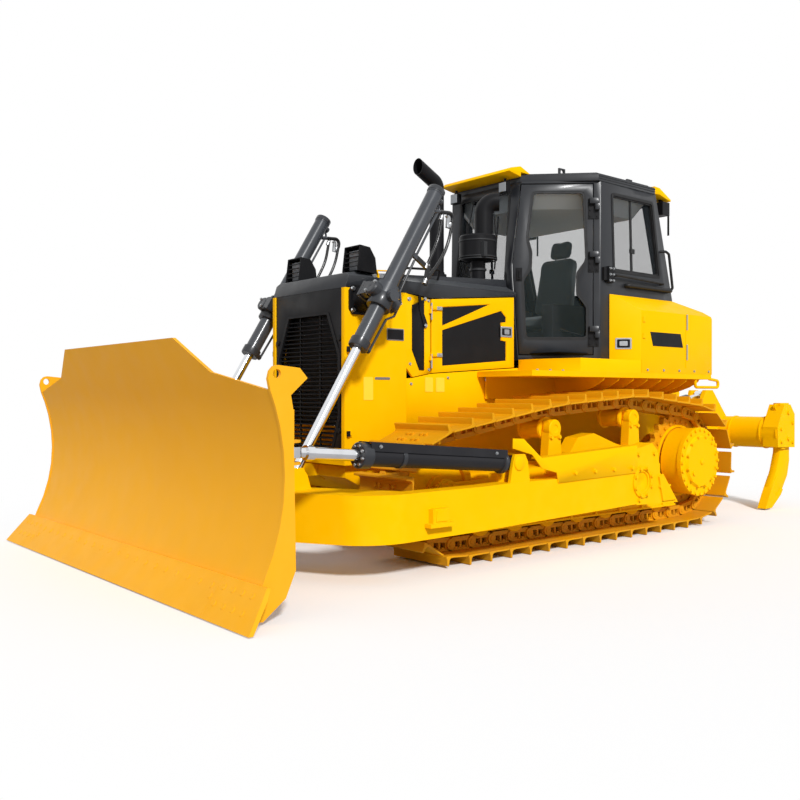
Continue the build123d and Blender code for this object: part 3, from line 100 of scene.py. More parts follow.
class Finish:
    """One surface finish: a principled shader fed by small node chains."""

    def __init__(self, name, colour, rough, metal=0.0, coat=0.0, specular=0.5):
        self.mat = bpy.data.materials.new(name)
        self.mat.use_nodes = True
        self.tree = self.mat.node_tree
        self.skin = self.tree.nodes["Principled BSDF"]
        for label, value in (("Roughness", rough), ("Metallic", metal), ("Coat Weight", coat),
                             ("Coat Roughness", 0.12), ("Specular IOR Level", specular)):
            self.skin.inputs[label].default_value = value
        self.place = self.add("ShaderNodeTexCoord").outputs["Object"]
        self.rough = rough
        plain = self.add("ShaderNodeRGB")
        plain.outputs[0].default_value = colour
        self.colour = plain.outputs[0]

    def add(self, kind, values=(), **settings):
        return add_node(self.tree, kind, values, **settings)

    def join(self, a, b):
        self.tree.links.new(a, b)

    def noise(self, scale, detail=3.0, stretch=None):
        n = self.add("ShaderNodeTexNoise", {"Scale": scale, "Detail": detail})
        src = self.place
        if stretch:
            m = self.add("ShaderNodeMapping", {"Scale": stretch})
            self.join(src, m.inputs["Vector"])
            src = m.outputs["Vector"]
        self.join(src, n.inputs["Vector"])
        return n.outputs["Fac"]

    def span(self, value, lo, hi, a=0.0, b=1.0):
        # value between lo and hi, spread from a to b
        n = self.add("ShaderNodeMapRange", {1: lo, 2: hi, 3: a, 4: b})
        self.join(value, n.inputs[0])
        return n.outputs[0]

    def times(self, a, b):
        n = self.add("ShaderNodeMath", operation="MULTIPLY")
        self.join(a, n.inputs[0])
        if isinstance(b, float):
            n.inputs[1].default_value = b
        else:
            self.join(b, n.inputs[1])
        return n.outputs[0]

    def tint(self, other, amount):
        # the colour so far, mixed with another
        n = self.add("ShaderNodeMix", {7: other}, data_type="RGBA")
        self.join(amount, n.inputs[0])
        self.join(self.colour, n.inputs[6])
        self.colour = n.outputs[2]

    def shape_value(self, label):
        return self.add("ShaderNodeNewGeometry").outputs[label]

    def upright_part(self, vector):
        n = self.add("ShaderNodeSeparateXYZ")
        self.join(vector, n.inputs[0])
        return n.outputs["Z"]

    def height(self):
        return self.upright_part(self.place)

    def upward(self):
        return self.upright_part(self.shape_value("Normal"))

    def edges(self, other, amount):
        # paint rubbed thin along convex edges, broken up by a noise
        e = self.span(self.shape_value("Pointiness"), 0.52, 0.62)
        self.tint(other, self.times(self.times(e, self.span(self.noise(9.0, 4), 0.4, 0.7)), amount))

    def gloss(self, scale, spread):
        r = self.span(self.noise(scale, 4), 0.3, 0.7, self.rough - spread, self.rough + spread)
        self.join(r, self.skin.inputs["Roughness"])

    def grain(self, value, strength, depth):
        n = self.add("ShaderNodeBump", {"Strength": strength, "Distance": depth})
        self.join(value, n.inputs["Height"])
        self.join(n.outputs[0], self.skin.inputs["Normal"])

    def done(self):
        self.join(self.colour, self.skin.inputs["Base Color"])
        return self.mat


EARTH, FINE_DUST, PAINTED_SKY_LIGHT = rgb(150, 118, 74), rgb(176, 150, 104), rgb(124, 128, 132)


def paint(name, colour, rough, mottle, dust=0.0, coat=0.0, peel=0.10, specular=0.12, painted_top_light=0.0):
    # peel: its texture; dust: earth low down and dust lying on top; the last amount is painted light, upward
    # faces made paler as if lit from the sky
    f = Finish(name, colour, rough, coat=coat, specular=specular)
    f.tint(mottle, f.times(f.span(f.noise(1.7, 4), 0.35, 0.7), 0.35))
    f.edges(tuple(min(1.0, c * 1.25 + 0.04) for c in colour[:3]) + (1.0,), amount=0.1)
    if dust:
        low = f.span(f.height(), 0.0, 1.0, 1.0, 0.0)
        f.tint(EARTH, f.times(f.times(low, f.span(f.noise(5.0, 5), 0.38, 0.75)), dust))
        lying = f.times(f.span(f.upward(), 0.75, 1.0), f.span(f.noise(9.0, 5), 0.4, 0.8))
        f.tint(FINE_DUST, f.times(lying, dust * 0.6))
    # painted light: upward faces tinted paler, a painted sky light on their tops
    if painted_top_light:
        f.tint(PAINTED_SKY_LIGHT, f.times(f.span(f.upward(), 0.5, 1.0), painted_top_light))
    f.gloss(7.0, 0.07)
    f.grain(f.noise(420, 2), peel, 0.0006)
    return f.done()


YELLOW = paint("machine_yellow_paint", rgb(255, 193, 0), 0.46, rgb(252, 186, 0), dust=0.03, specular=0.03)
# the blade's yellow is the machine's yellow painted darker and more orange: painted shade for the blade's
# face, which the sun does not reach
SHADED_BLADE_YELLOW = paint("blade_yellow_with_painted_shade", rgb(246, 176, 30), 0.46, rgb(238, 166, 22), dust=0.06)
TRACK_PAINT = paint("track_yellow_paint", rgb(226, 160, 10), 0.5, rgb(190, 120, 8), dust=0.22, peel=0.2)
# the dark grey paint gets painted light: its upward faces are painted paler
GREY = paint("dark_grey_paint", rgb(37, 39, 43), 0.36, rgb(31, 33, 36), dust=0.03, coat=0.1, specular=0.3,
             painted_top_light=0.3)
BLACK = paint("black_satin_paint", rgb(23, 23, 25), 0.44, rgb(17, 17, 19), dust=0.03)
CHANNEL = paint("guard_black_paint", rgb(38, 38, 41), 0.38, rgb(30, 30, 33), coat=0.1)
BARREL = paint("cylinder_grey_paint", rgb(48, 50, 54), 0.3, rgb(40, 42, 46), coat=0.15, specular=0.3)
ENGINE = paint("engine_casting_paint", rgb(96, 98, 100), 0.6, rgb(74, 75, 76), dust=0.2, peel=0.4)
LINING = paint("cab_lining", rgb(24, 25, 27), 0.9, rgb(18, 19, 21), peel=0.0, specular=0.0)
HEADLINER = paint("cab_headliner", rgb(238, 246, 248), 0.8, rgb(226, 236, 238), peel=0.0, specular=0.1)
BLANK_YELLOW = paint("blank_label_yellow", rgb(255, 214, 60), 0.3, rgb(252, 206, 48))


def bright_metal(name, colour, rough, scale, stretch, depth):
    f = Finish(name, colour, rough, metal=1.0)
    f.tint(tuple(c * 0.8 for c in colour[:3]) + (1.0,),
           f.times(f.span(f.noise(scale * 0.1, 3), 0.4, 0.7), 0.4))
    f.gloss(scale * 0.15, 0.05)
    f.grain(f.noise(scale, 3, stretch), 0.12, depth)
    return f.done()


CHROME = bright_metal("hard_chrome", rgb(228, 230, 233), 0.12, 120, (1, 1, 6), 0.0002)
STEEL = bright_metal("zinc_plated_steel", rgb(176, 178, 180), 0.34, 300, (1, 1, 1), 0.0004)


def rubber(name, colour, rough):
    f = Finish(name, colour, rough, specular=0.35)
    f.tint(tuple(c * 1.7 + 0.004 for c in colour[:3]) + (1.0,),
           f.times(f.span(f.noise(14, 5), 0.45, 0.75), 0.4))
    f.gloss(20.0, 0.08)
    f.grain(f.noise(700, 3), 0.25, 0.0005)
    return f.done()


RUBBER = rubber("seal_rubber", rgb(24, 24, 25), 0.6)
PLASTIC = rubber("moulded_black_plastic", rgb(36, 37, 39), 0.48)


def window(name, colour, clear):
    f = Finish(name, colour, 0.04, specular=0.0)
    f.tint(tuple(c * 0.7 for c in colour[:3]) + (1.0,), f.times(f.span(f.noise(1.1, 2), 0.35, 0.7), 0.35))
    f.gloss(3.0, 0.015)
    f.skin.inputs["Alpha"].default_value = clear
    return f.done()


GLASS = window("side_window_glass", rgb(52, 57, 61), 0.2)
DOOR_GLASS = window("door_window_glass", rgb(70, 80, 80), 0.14)
LENS = window("lamp_lens", rgb(190, 194, 198), 0.7)
BLANK_GREY = paint("blank_plate_grey", rgb(120, 120, 118), 0.45, rgb(104, 104, 104))

# The lift cylinder hangs from its trunnion to its eye; the hoses run behind the barrel.
TRUNNION, LIFT_EYE, BEHIND_BARREL = (545, 718, 1840), (1300, 718, 620), (-0.850, 0, -0.526)


def hose_and_barrel():
    # the cylinder's paint near its axis, rubber on the hoses that hang behind it
    f = Finish("lift_cylinder_paint", rgb(62, 65, 70), 0.3, coat=0.2, specular=0.3)
    f.tint(rgb(52, 55, 59), f.times(f.span(f.noise(1.7, 4), 0.35, 0.7), 0.35))
    away = f.add("ShaderNodeVectorMath", {1: at(TRUNNION[0], 0, TRUNNION[2])}, operation="SUBTRACT")
    f.join(f.place, away.inputs[0])
    back = f.add("ShaderNodeVectorMath", {1: BEHIND_BARREL}, operation="DOT_PRODUCT")
    f.join(away.outputs["Vector"], back.inputs[0])
    f.tint(rgb(24, 24, 25), f.span(back.outputs["Value"], 0.102, 0.106))
    f.gloss(7.0, 0.07)
    f.grain(f.noise(420, 2), 0.1, 0.0006)
    return f.done()


def cloth(name, colour):
    f = Finish(name, colour, 0.85, specular=0.2)
    f.tint(tuple(c * 0.55 for c in colour[:3]) + (1.0,), f.times(f.span(f.noise(900, 2), 0.4, 0.6), 0.7))
    w = f.add("ShaderNodeTexWave", {"Scale": 260.0}, bands_direction="X")
    f.join(f.place, w.inputs["Vector"])
    f.skin.inputs["Sheen Weight"].default_value = 0.25
    f.grain(w.outputs["Fac"], 0.35, 0.0008)
    return f.done()


LIFT_PAINT = hose_and_barrel()
SEAT_CLOTH = cloth("woven_seat_cloth", rgb(104, 112, 113))

# ----------------------------------------------------- shapes by the piece --


def shade(mesh):
    for p in mesh.polygons:
        p.use_smooth = True
    mesh.set_sharp_from_angle(angle=math.radians(34))


class Shape:
    """Closed solids gathered into one mesh, in millimetres along the machine."""

    def __init__(self):
        self.bm = bmesh.new()

    def face_loop(self, ring):
        return [self.bm.verts.new(p) for p in ring]

    def skin(self, rings, closed=False):
        # faces from ring to ring, capped at both ends unless they close on themselves
        loops = [self.face_loop(r) for r in rings]
        n = len(loops[0])
        pairs = list(zip(loops, loops[1:])) + ([(loops[-1], loops[0])] if closed else [])
        for a, b in pairs:
            for i in range(n):
                j = (i + 1) % n
                self.bm.faces.new((a[i], a[j], b[j], b[i]))
        if not closed:
            self.bm.faces.new(loops[0])
            self.bm.faces.new(list(reversed(loops[-1])))
        return self

    def prism(self, ring, way):
        # a closed outline pushed along a way
        return self.skin([ring, [p + way for p in ring]])

    def side(self, pts, y0, y1):
        # a plate seen from the side: (x, z) outline between two stations across
        return self.prism([at(x, y0, z) for x, z in pts], at(0, y1, 0) - at(0, y0, 0))

    def slab(self, pts, k, near, far):
        # the same plate on side k, between two distances from the middle
        return self.side(pts, *across(k, near, far))

    def plan(self, pts, z0, z1):
        # a plate seen from above: (x, y) outline between two heights
        return self.prism([at(x, y, z0) for x, y in pts], at(0, 0, z1) - at(0, 0, z0))

    def front(self, pts, x0, x1):
        # a plate seen from the front: (y, z) outline between two stations along
        return self.prism([at(x0, y, z) for y, z in pts], at(x1, 0, 0) - at(x0, 0, 0))

    def box(self, x0, x1, y0, y1, z0, z1):
        return self.side([(x0, z0), (x1, z0), (x1, z1), (x0, z1)], y0, y1)

    def turn(self, centre, axis, profile, n=32):
        # profile: (radius, distance along the axis), a closed outline or one that ends on the axis
        w = Vector(axis).normalized()
        u = w.orthogonal().normalized()
        v = w.cross(u)
        o = at(*centre)
        rings = []
        for i in range(n):
            a = 2 * math.pi * i / n
            d = u * math.cos(a) + v * math.sin(a)
            rings.append([o + d * (max(r, 0.02) / 1000) + w * (h / 1000) for r, h in profile])
        return self.skin(rings, closed=True)

    def disc(self, centre, axis, r, h0, h1, n=24, soft=2.0):
        return self.turn(centre, axis, [(0, h0), (r, h0), (r, h1 - soft), (r - soft, h1), (0, h1)], n)

    def ring(self, centre, axis, r0, r1, h0, h1, n=32):
        return self.turn(centre, axis, [(r0, h0), (r1, h0), (r1, h1), (r0, h1)], n)

    def tube(self, path, r, n=10):
        pts = [at(*p) for p in path]
        m = len(pts)
        rings, u = [], None
        for i, p in enumerate(pts):
            a = pts[i - 1] if i else p
            b = pts[i + 1] if i < m - 1 else p
            t = (b - a).normalized()
            u = (u - t * u.dot(t)).normalized() if u else t.orthogonal().normalized()
            v = t.cross(u)
            rr = r / 1000
            angles = [k * 2 * math.pi / n for k in range(n)]
            rings.append([p + (u * math.cos(q) + v * math.sin(q)) * rr for q in angles])
        return self.skin(rings)

    def mesh(self, name):
        bmesh.ops.recalc_face_normals(self.bm, faces=self.bm.faces)
        m = bpy.data.meshes.new(name)
        self.bm.to_mesh(m)
        self.bm.free()
        return m

    def done(self, name, body, finish, bevel=0.0, slot=None):
        return settle(name, self.mesh(name), body, finish, bevel)


def settle(name, mesh, body, finish, bevel=0.0):
    # the finished piece: its coat, its soft edges and the body it rides on
    o = show(name, mesh)
    mesh.materials.clear()
    mesh.materials.append(finish)
    shade(mesh)
    if bevel:
        soften(o, bevel, 38)
    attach(o, body)
    return o


def bend(path, radius, steps=5):
    # a pipe's or rail's run with its corners rounded
    out = [Vector(path[0])]
    for a, b, c in zip(path, path[1:], path[2:]):
        a, b, c = Vector(a), Vector(b), Vector(c)
        u, v = (a - b), (c - b)
        ang = u.angle(v)
        d = min(radius / math.tan(ang / 2), u.length * 0.49, v.length * 0.49)
        p, q = b + u.normalized() * d, b + v.normalized() * d
        for i in range(steps + 1):
            t = i / steps
            out.append(p * (1 - t) ** 2 + b * 2 * t * (1 - t) + q * t ** 2)
    out.append(Vector(path[-1]))
    return [tuple(p) for p in out]


def rounded(pts, r, n=5):
    # a closed outline with its corners rounded
    out = []
    m = len(pts)
    for i in range(m):
        a, b, c = Vector(pts[i - 1]), Vector(pts[i]), Vector(pts[(i + 1) % m])
        u, v = a - b, c - b
        d = min(r, u.length * 0.45, v.length * 0.45)
        p, q = b + u.normalized() * d, b + v.normalized() * d
        for j in range(n + 1):
            t = j / n
            out.append(tuple(p * (1 - t) ** 2 + b * 2 * t * (1 - t) + q * t ** 2))
    return out


def offset(pts, d):
    # a closed outline moved outward by d
    n = len(pts)
    area = sum(pts[i][0] * pts[(i + 1) % n][1] - pts[(i + 1) % n][0] * pts[i][1] for i in range(n))
    d = d if area > 0 else -d
    out = []
    for i in range(n):
        p, q, r = pts[i - 1], pts[i], pts[(i + 1) % n]
        u, v = (q[0] - p[0], q[1] - p[1]), (r[0] - q[0], r[1] - q[1])
        lu, lv = math.hypot(*u), math.hypot(*v)
        nu, nv = (u[1] / lu, -u[0] / lu), (v[1] / lv, -v[0] / lv)
        k = d / (1 + nu[0] * nv[0] + nu[1] * nv[1])
        out.append((q[0] + k * (nu[0] + nv[0]), q[1] + k * (nu[1] + nv[1])))
    return out


# ------------------------------------------- node trees for what repeats --


def group(name, sockets):
    t = bpy.data.node_groups.new(name, "GeometryNodeTree")
    t.interface.new_socket("Geometry", in_out="INPUT", socket_type="NodeSocketGeometry")
    for label, kind in sockets:
        t.interface.new_socket(label, in_out="INPUT", socket_type="NodeSocket" + kind)
    t.interface.new_socket("Geometry", in_out="OUTPUT", socket_type="NodeSocketGeometry")
    return t, t.nodes.new("NodeGroupInput"), t.nodes.new("NodeGroupOutput")


def seat_value(t, label):
    # a vector that each seat carries
    value = add_node(t, "GeometryNodeInputNamedAttribute", {"Name": label}, data_type="FLOAT_VECTOR")
    return value.outputs["Attribute"]


def seat_rotation(t):
    turn = add_node(t, "FunctionNodeAxesToRotation", primary_axis="Z", secondary_axis="X")
    t.links.new(seat_value(t, "way"), turn.inputs[0])
    t.links.new(seat_value(t, "run"), turn.inputs[1])
    return turn.outputs[0]


def finish_tree(t, geometry, gin, gout):
    real = t.nodes.new("GeometryNodeRealizeInstances")
    coat = t.nodes.new("GeometryNodeSetMaterial")
    t.links.new(geometry, real.inputs[0])
    t.links.new(real.outputs[0], coat.inputs["Geometry"])
    t.links.new(gin.outputs["Finish"], coat.inputs["Material"])
    t.links.new(coat.outputs[0], gout.inputs[0])


def hex_bolt_tree():
    # a hexagon head on its round washer at every seat
    t, gin, gout = group("hex_bolts", [("Across", "Float"), ("Head", "Float"), ("Finish", "Material")])

    def times(a, b):
        n = add_node(t, "ShaderNodeMath", {1: b}, operation="MULTIPLY")
        t.links.new(a, n.inputs[0])
        return n.outputs[0]
    flats, head = gin.outputs["Across"], gin.outputs["Head"]
    both = t.nodes.new("GeometryNodeJoinGeometry")
    for sides, wide, deep, up in ((6, 0.577, 1.0, 0.62), (14, 0.72, 0.24, 0.12)):
        c = add_node(t, "GeometryNodeMeshCylinder", {"Vertices": sides})
        t.links.new(times(flats, wide), c.inputs["Radius"])
        t.links.new(times(head, deep), c.inputs["Depth"])
        lift = t.nodes.new("ShaderNodeCombineXYZ")
        t.links.new(times(head, up), lift.inputs[2])
        move = t.nodes.new("GeometryNodeTransform")
        t.links.new(c.outputs["Mesh"], move.inputs["Geometry"])
        t.links.new(lift.outputs[0], move.inputs["Translation"])
        t.links.new(move.outputs[0], both.inputs[0])
    put = t.nodes.new("GeometryNodeInstanceOnPoints")
    t.links.new(gin.outputs["Geometry"], put.inputs["Points"])
    t.links.new(both.outputs[0], put.inputs["Instance"])
    t.links.new(seat_rotation(t), put.inputs["Rotation"])
    finish_tree(t, put.outputs[0], gin, gout)
    return t


def copies_tree():
    # one finished piece set out along its seats
    t, gin, gout = group("set_out", [("Piece", "Object"), ("Finish", "Material")])
    src = t.nodes.new("GeometryNodeObjectInfo")
    t.links.new(gin.outputs["Piece"], src.inputs[0])
    put = t.nodes.new("GeometryNodeInstanceOnPoints")
    t.links.new(gin.outputs["Geometry"], put.inputs["Points"])
    t.links.new(src.outputs["Geometry"], put.inputs["Instance"])
    t.links.new(seat_rotation(t), put.inputs["Rotation"])
    t.links.new(seat_value(t, "size"), put.inputs["Scale"])
    finish_tree(t, put.outputs[0], gin, gout)
    return t


def smooth_tree():
    # joins loose faces, then shades them smooth up to a crease angle
    t, gin, gout = group("smooth_to_crease", [("Weld", "Float"), ("Crease", "Float")])
    weld = t.nodes.new("GeometryNodeMergeByDistance")
    soft = t.nodes.new("GeometryNodeSetShadeSmooth")
    hard = add_node(t, "GeometryNodeSetShadeSmooth", {"Shade Smooth": False}, domain="EDGE")
    angle = t.nodes.new("GeometryNodeInputMeshEdgeAngle")
    over = add_node(t, "FunctionNodeCompare", data_type="FLOAT", operation="GREATER_THAN")
    L = t.links.new
    L(gin.outputs["Geometry"], weld.inputs["Geometry"])
    L(gin.outputs["Weld"], weld.inputs["Distance"])
    L(weld.outputs[0], soft.inputs["Geometry"])
    L(soft.outputs[0], hard.inputs["Geometry"])
    L(angle.outputs["Unsigned Angle"], over.inputs[0])
    L(gin.outputs["Crease"], over.inputs[1])
    L(over.outputs[0], hard.inputs["Selection"])
    L(hard.outputs[0], gout.inputs[0])
    return t


HEX_BOLTS, SET_OUT, SMOOTH = hex_bolt_tree(), copies_tree(), smooth_tree()


def set_tree(modifier, tree, values):
    # a tree's inputs are set by identifier, looked up from their labels
    modifier.node_group = tree
    ids = {i.name: i.identifier for i in tree.interface.items_tree if i.in_out == "INPUT"}
    for label, value in values.items():
        modifier[ids[label]] = value


def grow_from(name, tree, seats, inputs, body, finish):
    """Runs a node tree on a cloud of seats: (point mm, way, run, size)."""
    cloud = bpy.data.meshes.new(name + "_seats")
    cloud.from_pydata([tuple(at(*s[0])) for s in seats], [], [])
    for label, k in (("way", 1), ("run", 2), ("size", 3)):
        a = cloud.attributes.new(label, "FLOAT_VECTOR", "POINT")
        for i, s in enumerate(seats):
            a.data[i].vector = Vector(s[k])
    o = show(name, cloud)
    set_tree(o.modifiers.new("made", "NODES"), tree, dict(inputs, Finish=finish))
    deps = bpy.context.evaluated_depsgraph_get()
    made = bpy.data.meshes.new_from_object(o.evaluated_get(deps))
    bpy.data.objects.remove(o)
    made.name = name
    return settle(name, made, body, finish)


def seat_of(point, way, run=None):
    w = Vector(way).normalized()
    r = Vector(run) if run else w.orthogonal()
    return (tuple(point), tuple(w), tuple(r), (1, 1, 1))


def bolts(name, body, seats, flats, head, finish):
    sizes = {"Across": flats / 1000, "Head": head / 1000}
    return grow_from(name, HEX_BOLTS, [seat_of(*s) for s in seats], sizes, body, finish)


def copies(name, body, source, seats, finish):
    made = grow_from(name, SET_OUT, seats, {"Piece": source}, body, finish)
    bpy.data.objects.remove(source)
    return made


def pattern(shape, name):
    # a source piece for copies(), drawn round the origin in metres
    return show(name, shape.mesh(name))


def circle(centre, axis, r, n, start=0.0):
    # bolt seats on a circle
    w = Vector(axis).normalized()
    u = w.orthogonal().normalized()
    v = w.cross(u)
    c = Vector(centre)
    out = []
    for i in range(n):
        a = start + 2 * math.pi * i / n
        out.append((tuple(c + (u * math.cos(a) + v * math.sin(a)) * r), axis))
    return out


def facing(k, y, places):
    # seats that face outward on side k of the machine, y from its middle
    return [((x, k * y, z), (0, k, 0)) for x, z in places]


def mirrored(seats):
    return seats + [((p[0], -p[1], p[2]), (w[0], -w[1], w[2])) for p, w in seats]


# --------------------------------------------------- the carried-over solids --
COATS = {
    YELLOW: ["main_frame", "radiator_housing", "side_covers", "engine_door_left", "engine_door_right",
             "deck", "fuel_tank", "track_frames", "final_drives", "c_frame", "arm_guards", "ripper_mount",
             "ripper_beam", "ripper_shanks", "visors", "idlers", "track_rollers"],
    SHADED_BLADE_YELLOW: ["blade", "cutting_edges"],
    TRACK_PAINT: ["sprockets", "track_left", "track_right"],
    GREY: ["hood", "cab_frame", "cab_roof", "cab_door_left", "cab_door_right"],
    BLACK: ["grille", "corner_plates", "exhaust_pipe", "pre_cleaner", "work_lamps", "lift_brackets"],
    LIFT_PAINT: ["lift_barrels"],
    CHANNEL: ["angle_barrel_left", "angle_barrel_right"],
    BARREL: ["tilt_barrel", "ripper_barrels"],
    CHROME: ["lift_rods", "angle_rod_left", "angle_rod_right", "tilt_rod", "ripper_rods"],
    GLASS: ["cab_glass"],
    DOOR_GLASS: ["door_glass_left", "door_glass_right"],
    ENGINE: ["engine_block"],
    PLASTIC: ["console"],
    SEAT_CLOTH: ["seat"],
}
HOOD_SIDE, TANK_SIDE = 476.0, 1070     # how far the hood's and the tank's sides stand from the middle
WELD = 0.00002      # loose faces closer than this are joined
SHARP = ("cab_glass", "door_glass_left", "door_glass_right", "engine_block")
ROUND = ("blade", "cutting_edges", "track_rollers", "idlers", "final_drives", "sprockets", "lift_barrels",
         "lift_rods", "angle_barrel_left", "angle_barrel_right", "angle_rod_left", "angle_rod_right",
         "tilt_barrel", "tilt_rod", "ripper_beam", "ripper_barrels", "ripper_rods", "exhaust_pipe",
         "pre_cleaner", "c_frame")
# SHARP pieces stay as they are, ROUND ones are shaded smooth, the rest get soft edges.
for coat, names in COATS.items():
    for n in names:
        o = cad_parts[n]
        if not o.material_slots:
            o.data.materials.append(coat)
        for s in o.material_slots:
            s.material = coat
        if n in SHARP:
            continue
        if n in ROUND:
            set_tree(o.modifiers.new("smooth", "NODES"), SMOOTH, {"Weld": WELD, "Crease": 0.5})
            continue
        for p in o.data.polygons:
            p.use_smooth = True
        o.modifiers.new("joined", "WELD").merge_threshold = WELD
        soften(o, 2.5, 34)

# ------------------------------------------------------------ running gear --
GAUGE, SHOE_W, SHOE_N = 1900.0, 560.0, 42
PIN_TO_PLATE, GROUSER_H = 60.0, 57.0
PIN_Z = GROUSER_H + PIN_TO_PLATE
IDLER = (303.0, PIN_Z + 370.0, 370.0)
SPROCKET = (-2680.0, 565.0, 440.6)
CARRIER = [(-1780.0, 1095.0), (-780.0, 1030.0)]


def tangent(p, c, r, side):
    dx, dz = p[0] - c[0], p[1] - c[1]
    a = math.atan2(dz, dx) + side * math.acos(r / math.hypot(dx, dz))
    return (c[0] + r * math.cos(a), c[1] + r * math.sin(a)), a


def chain_pins():
    # the pins' places round the idler, the sprocket and the carrier rollers, and their pitch
    ci, cs = IDLER[:2], SPROCKET[:2]
    flat = (-2400.0, PIN_Z)
    tb, ab = tangent(flat, cs, SPROCKET[2], -1)
    tt, top = tangent(CARRIER[0], cs, SPROCKET[2], 1)
    ti, ai = tangent(CARRIER[1], ci, IDLER[2], -1)
    legs = [("line", (IDLER[0], PIN_Z), flat), ("line", flat, tb),
            ("arc", cs, SPROCKET[2], ab + 2 * math.pi, top - ab - 2 * math.pi),
            ("line", tt, CARRIER[0]), ("line", CARRIER[0], CARRIER[1]),
            ("line", CARRIER[1], ti), ("arc", ci, IDLER[2], ai, -math.pi / 2 - ai)]
    size = [math.dist(g[1], g[2]) if g[0] == "line" else abs(g[2] * g[4]) for g in legs]
    step = sum(size) / SHOE_N
    pins = []
    for i in range(SHOE_N):
        d = (IDLER[0] % step + i * step) % sum(size)
        for g, n in zip(legs, size):
            if d <= n:
                break
            d -= n
        if g[0] == "line":
            k = d / n
            pins.append((g[1][0] + (g[2][0] - g[1][0]) * k, g[1][1] + (g[2][1] - g[1][1]) * k))
        else:
            a = g[3] + math.copysign(d / g[2], g[4])
            pins.append((g[1][0] + g[2] * math.cos(a), g[1][1] + g[2] * math.sin(a)))
    return pins, step


PINS, STEP = chain_pins()


class Small(Shape):
    """A source piece drawn in its own axes: x along the chain, y across, z outward."""

    def side(self, pts, y0, y1):
        return self.prism([Vector((x, y0, z)) / 1000 for x, z in pts], Vector((0, y1 - y0, 0)) / 1000)

    def rod(self, x, z, r, y0, y1, n=14):
        angles = [2 * math.pi * i / n for i in range(n)]
        return self.side([(x + r * math.cos(a), z + r * math.sin(a)) for a in angles], y0, y1)


def track_shoe():
    p, s = STEP, Small()
    top = PIN_TO_PLATE + GROUSER_H
    # the grouser, then the plate whose rear edge tucks under the next shoe
    grouser = [(-8, 52), (-6, 62), (0, 74), (2, top - 4), (4, top), (18, top), (20, top - 4), (23, 76),
               (34, 64)]
    plate = [(60, 60), (p - 26, 60), (p - 12, 56), (p - 10, 46), (p - 30, 48), (40, 48), (4, 50)]
    s.side(grouser + plate, -SHOE_W / 2, SHOE_W / 2)
    return s


def chain_link():
    p, s = STEP, Small()
    for k in (-1, 1):
        c = k * 70
        a, b = c - 15, c + 15
        s.side([(20, -45), (p - 20, -45), (p - 8, -36), (p - 6, -14), (6, -14), (8, -36)], a - 4, b + 4)
        s.side([(10, 32), (p - 10, 32), (p - 14, 48), (14, 48)], a, b)
        for x0, x1 in ((-4, 44), (p / 2 - 9, p / 2 + 9), (p - 44, p + 4)):
            s.side([(x0, -16), (x1, -16), (x1, 34), (x0, 34)], a, b)
        s.rod(0, 0, 38, min(k * 44, k * 70), max(k * 44, k * 70), 18)
        s.rod(p, 0, 38, min(k * 70, k * 98), max(k * 70, k * 98), 18)
        s.rod(p, 0, 17, min(k * 96, k * 102), max(k * 96, k * 102), 14)
        for x in (62, p - 62):
            s.side([(x - 13, 22), (x + 13, 22), (x + 13, 34), (x - 13, 34)], c - 12, c + 12)
    s.rod(0, 0, 29, -46, 46, 16)
    return s


def running_gear():
    for side, sgn in (("left", 1), ("right", -1)):
        y = sgn * GAUGE / 2
        seats, studs = [], []
        for a, b in zip(PINS, PINS[1:] + PINS[:1]):
            L = math.dist(a, b)
            t = ((b[0] - a[0]) / L, (b[1] - a[1]) / L)
            q = (-t[1], t[0])
            out, run = (q[0], 0, q[1]), (t[0], 0, t[1])
            seats.append(((a[0], y, a[1]), out, run, (L / STEP, 1, 1)))
            for d in (70, L - 46):
                for dy in (-92, -48, 48, 92):
                    stud = (a[0] + t[0] * d + q[0] * 60, y + dy, a[1] + t[1] * d + q[1] * 60)
                    studs.append((stud, out, run))
        shoes = copies("track_shoes_" + side, "tractor", pattern(track_shoe(), "shoe"), seats, TRACK_PAINT)
        soften(shoes, 3, 40)
        copies("track_chain_" + side, "tractor", pattern(chain_link(), "link"), seats, TRACK_PAINT)
        bolts("shoe_bolts_" + side, "tractor", studs, 26, 13, TRACK_PAINT)
        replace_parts(shoes, "track_" + side)


running_gear()


def drive_and_idler():
    hub = SPROCKET[:2]
    for name, y, r, n, turned, flats, head, finish in (
            ("final_drive_bolts", 1203, 284, 24, 0, 24, 13, YELLOW),
            ("final_drive_cap_bolts", 1225, 224, 12, 0, 20, 11, YELLOW),
            ("sprocket_bolts", 974, 352, 25, 0.06, 26, 13, TRACK_PAINT)):
        ring = circle((hub[0], y, hub[1]), (0, 1, 0), r, n, turned)
        bolts(name, "tractor", mirrored(ring), flats, head, finish)
    s = Shape()
    for k in (1, -1):
        ax = (0, k, 0)
        # the drive's centre plug and its oil plug
        c = (SPROCKET[0], 0, SPROCKET[1])
        s.turn(c, ax, [(0, 1218), (26, 1218), (26, 1232), (20, 1236), (0, 1236)], 24)
        s.disc((SPROCKET[0] + 128, 0, SPROCKET[1] - 96), ax, 22, 1220, 1238, 18)
        # raised ring inside the sprocket's bolts
        s.ring(c, ax, 300, 322, 970, 984, 48)
        # idler hub and its stepped cover
        c = (IDLER[0], 0, IDLER[1])
        s.turn(c, ax, [(0, 1095), (96, 1095), (96, 1110), (86, 1118), (52, 1118), (46, 1124), (0, 1124)], 36)
    s.done("hub_covers", "tractor", YELLOW, 1.5)
    ring = circle((IDLER[0], 1113, IDLER[1]), (0, 1, 0), 72, 8)
    bolts("idler_hub_bolts", "tractor", mirrored(ring), 18, 10, YELLOW)


drive_and_idler()


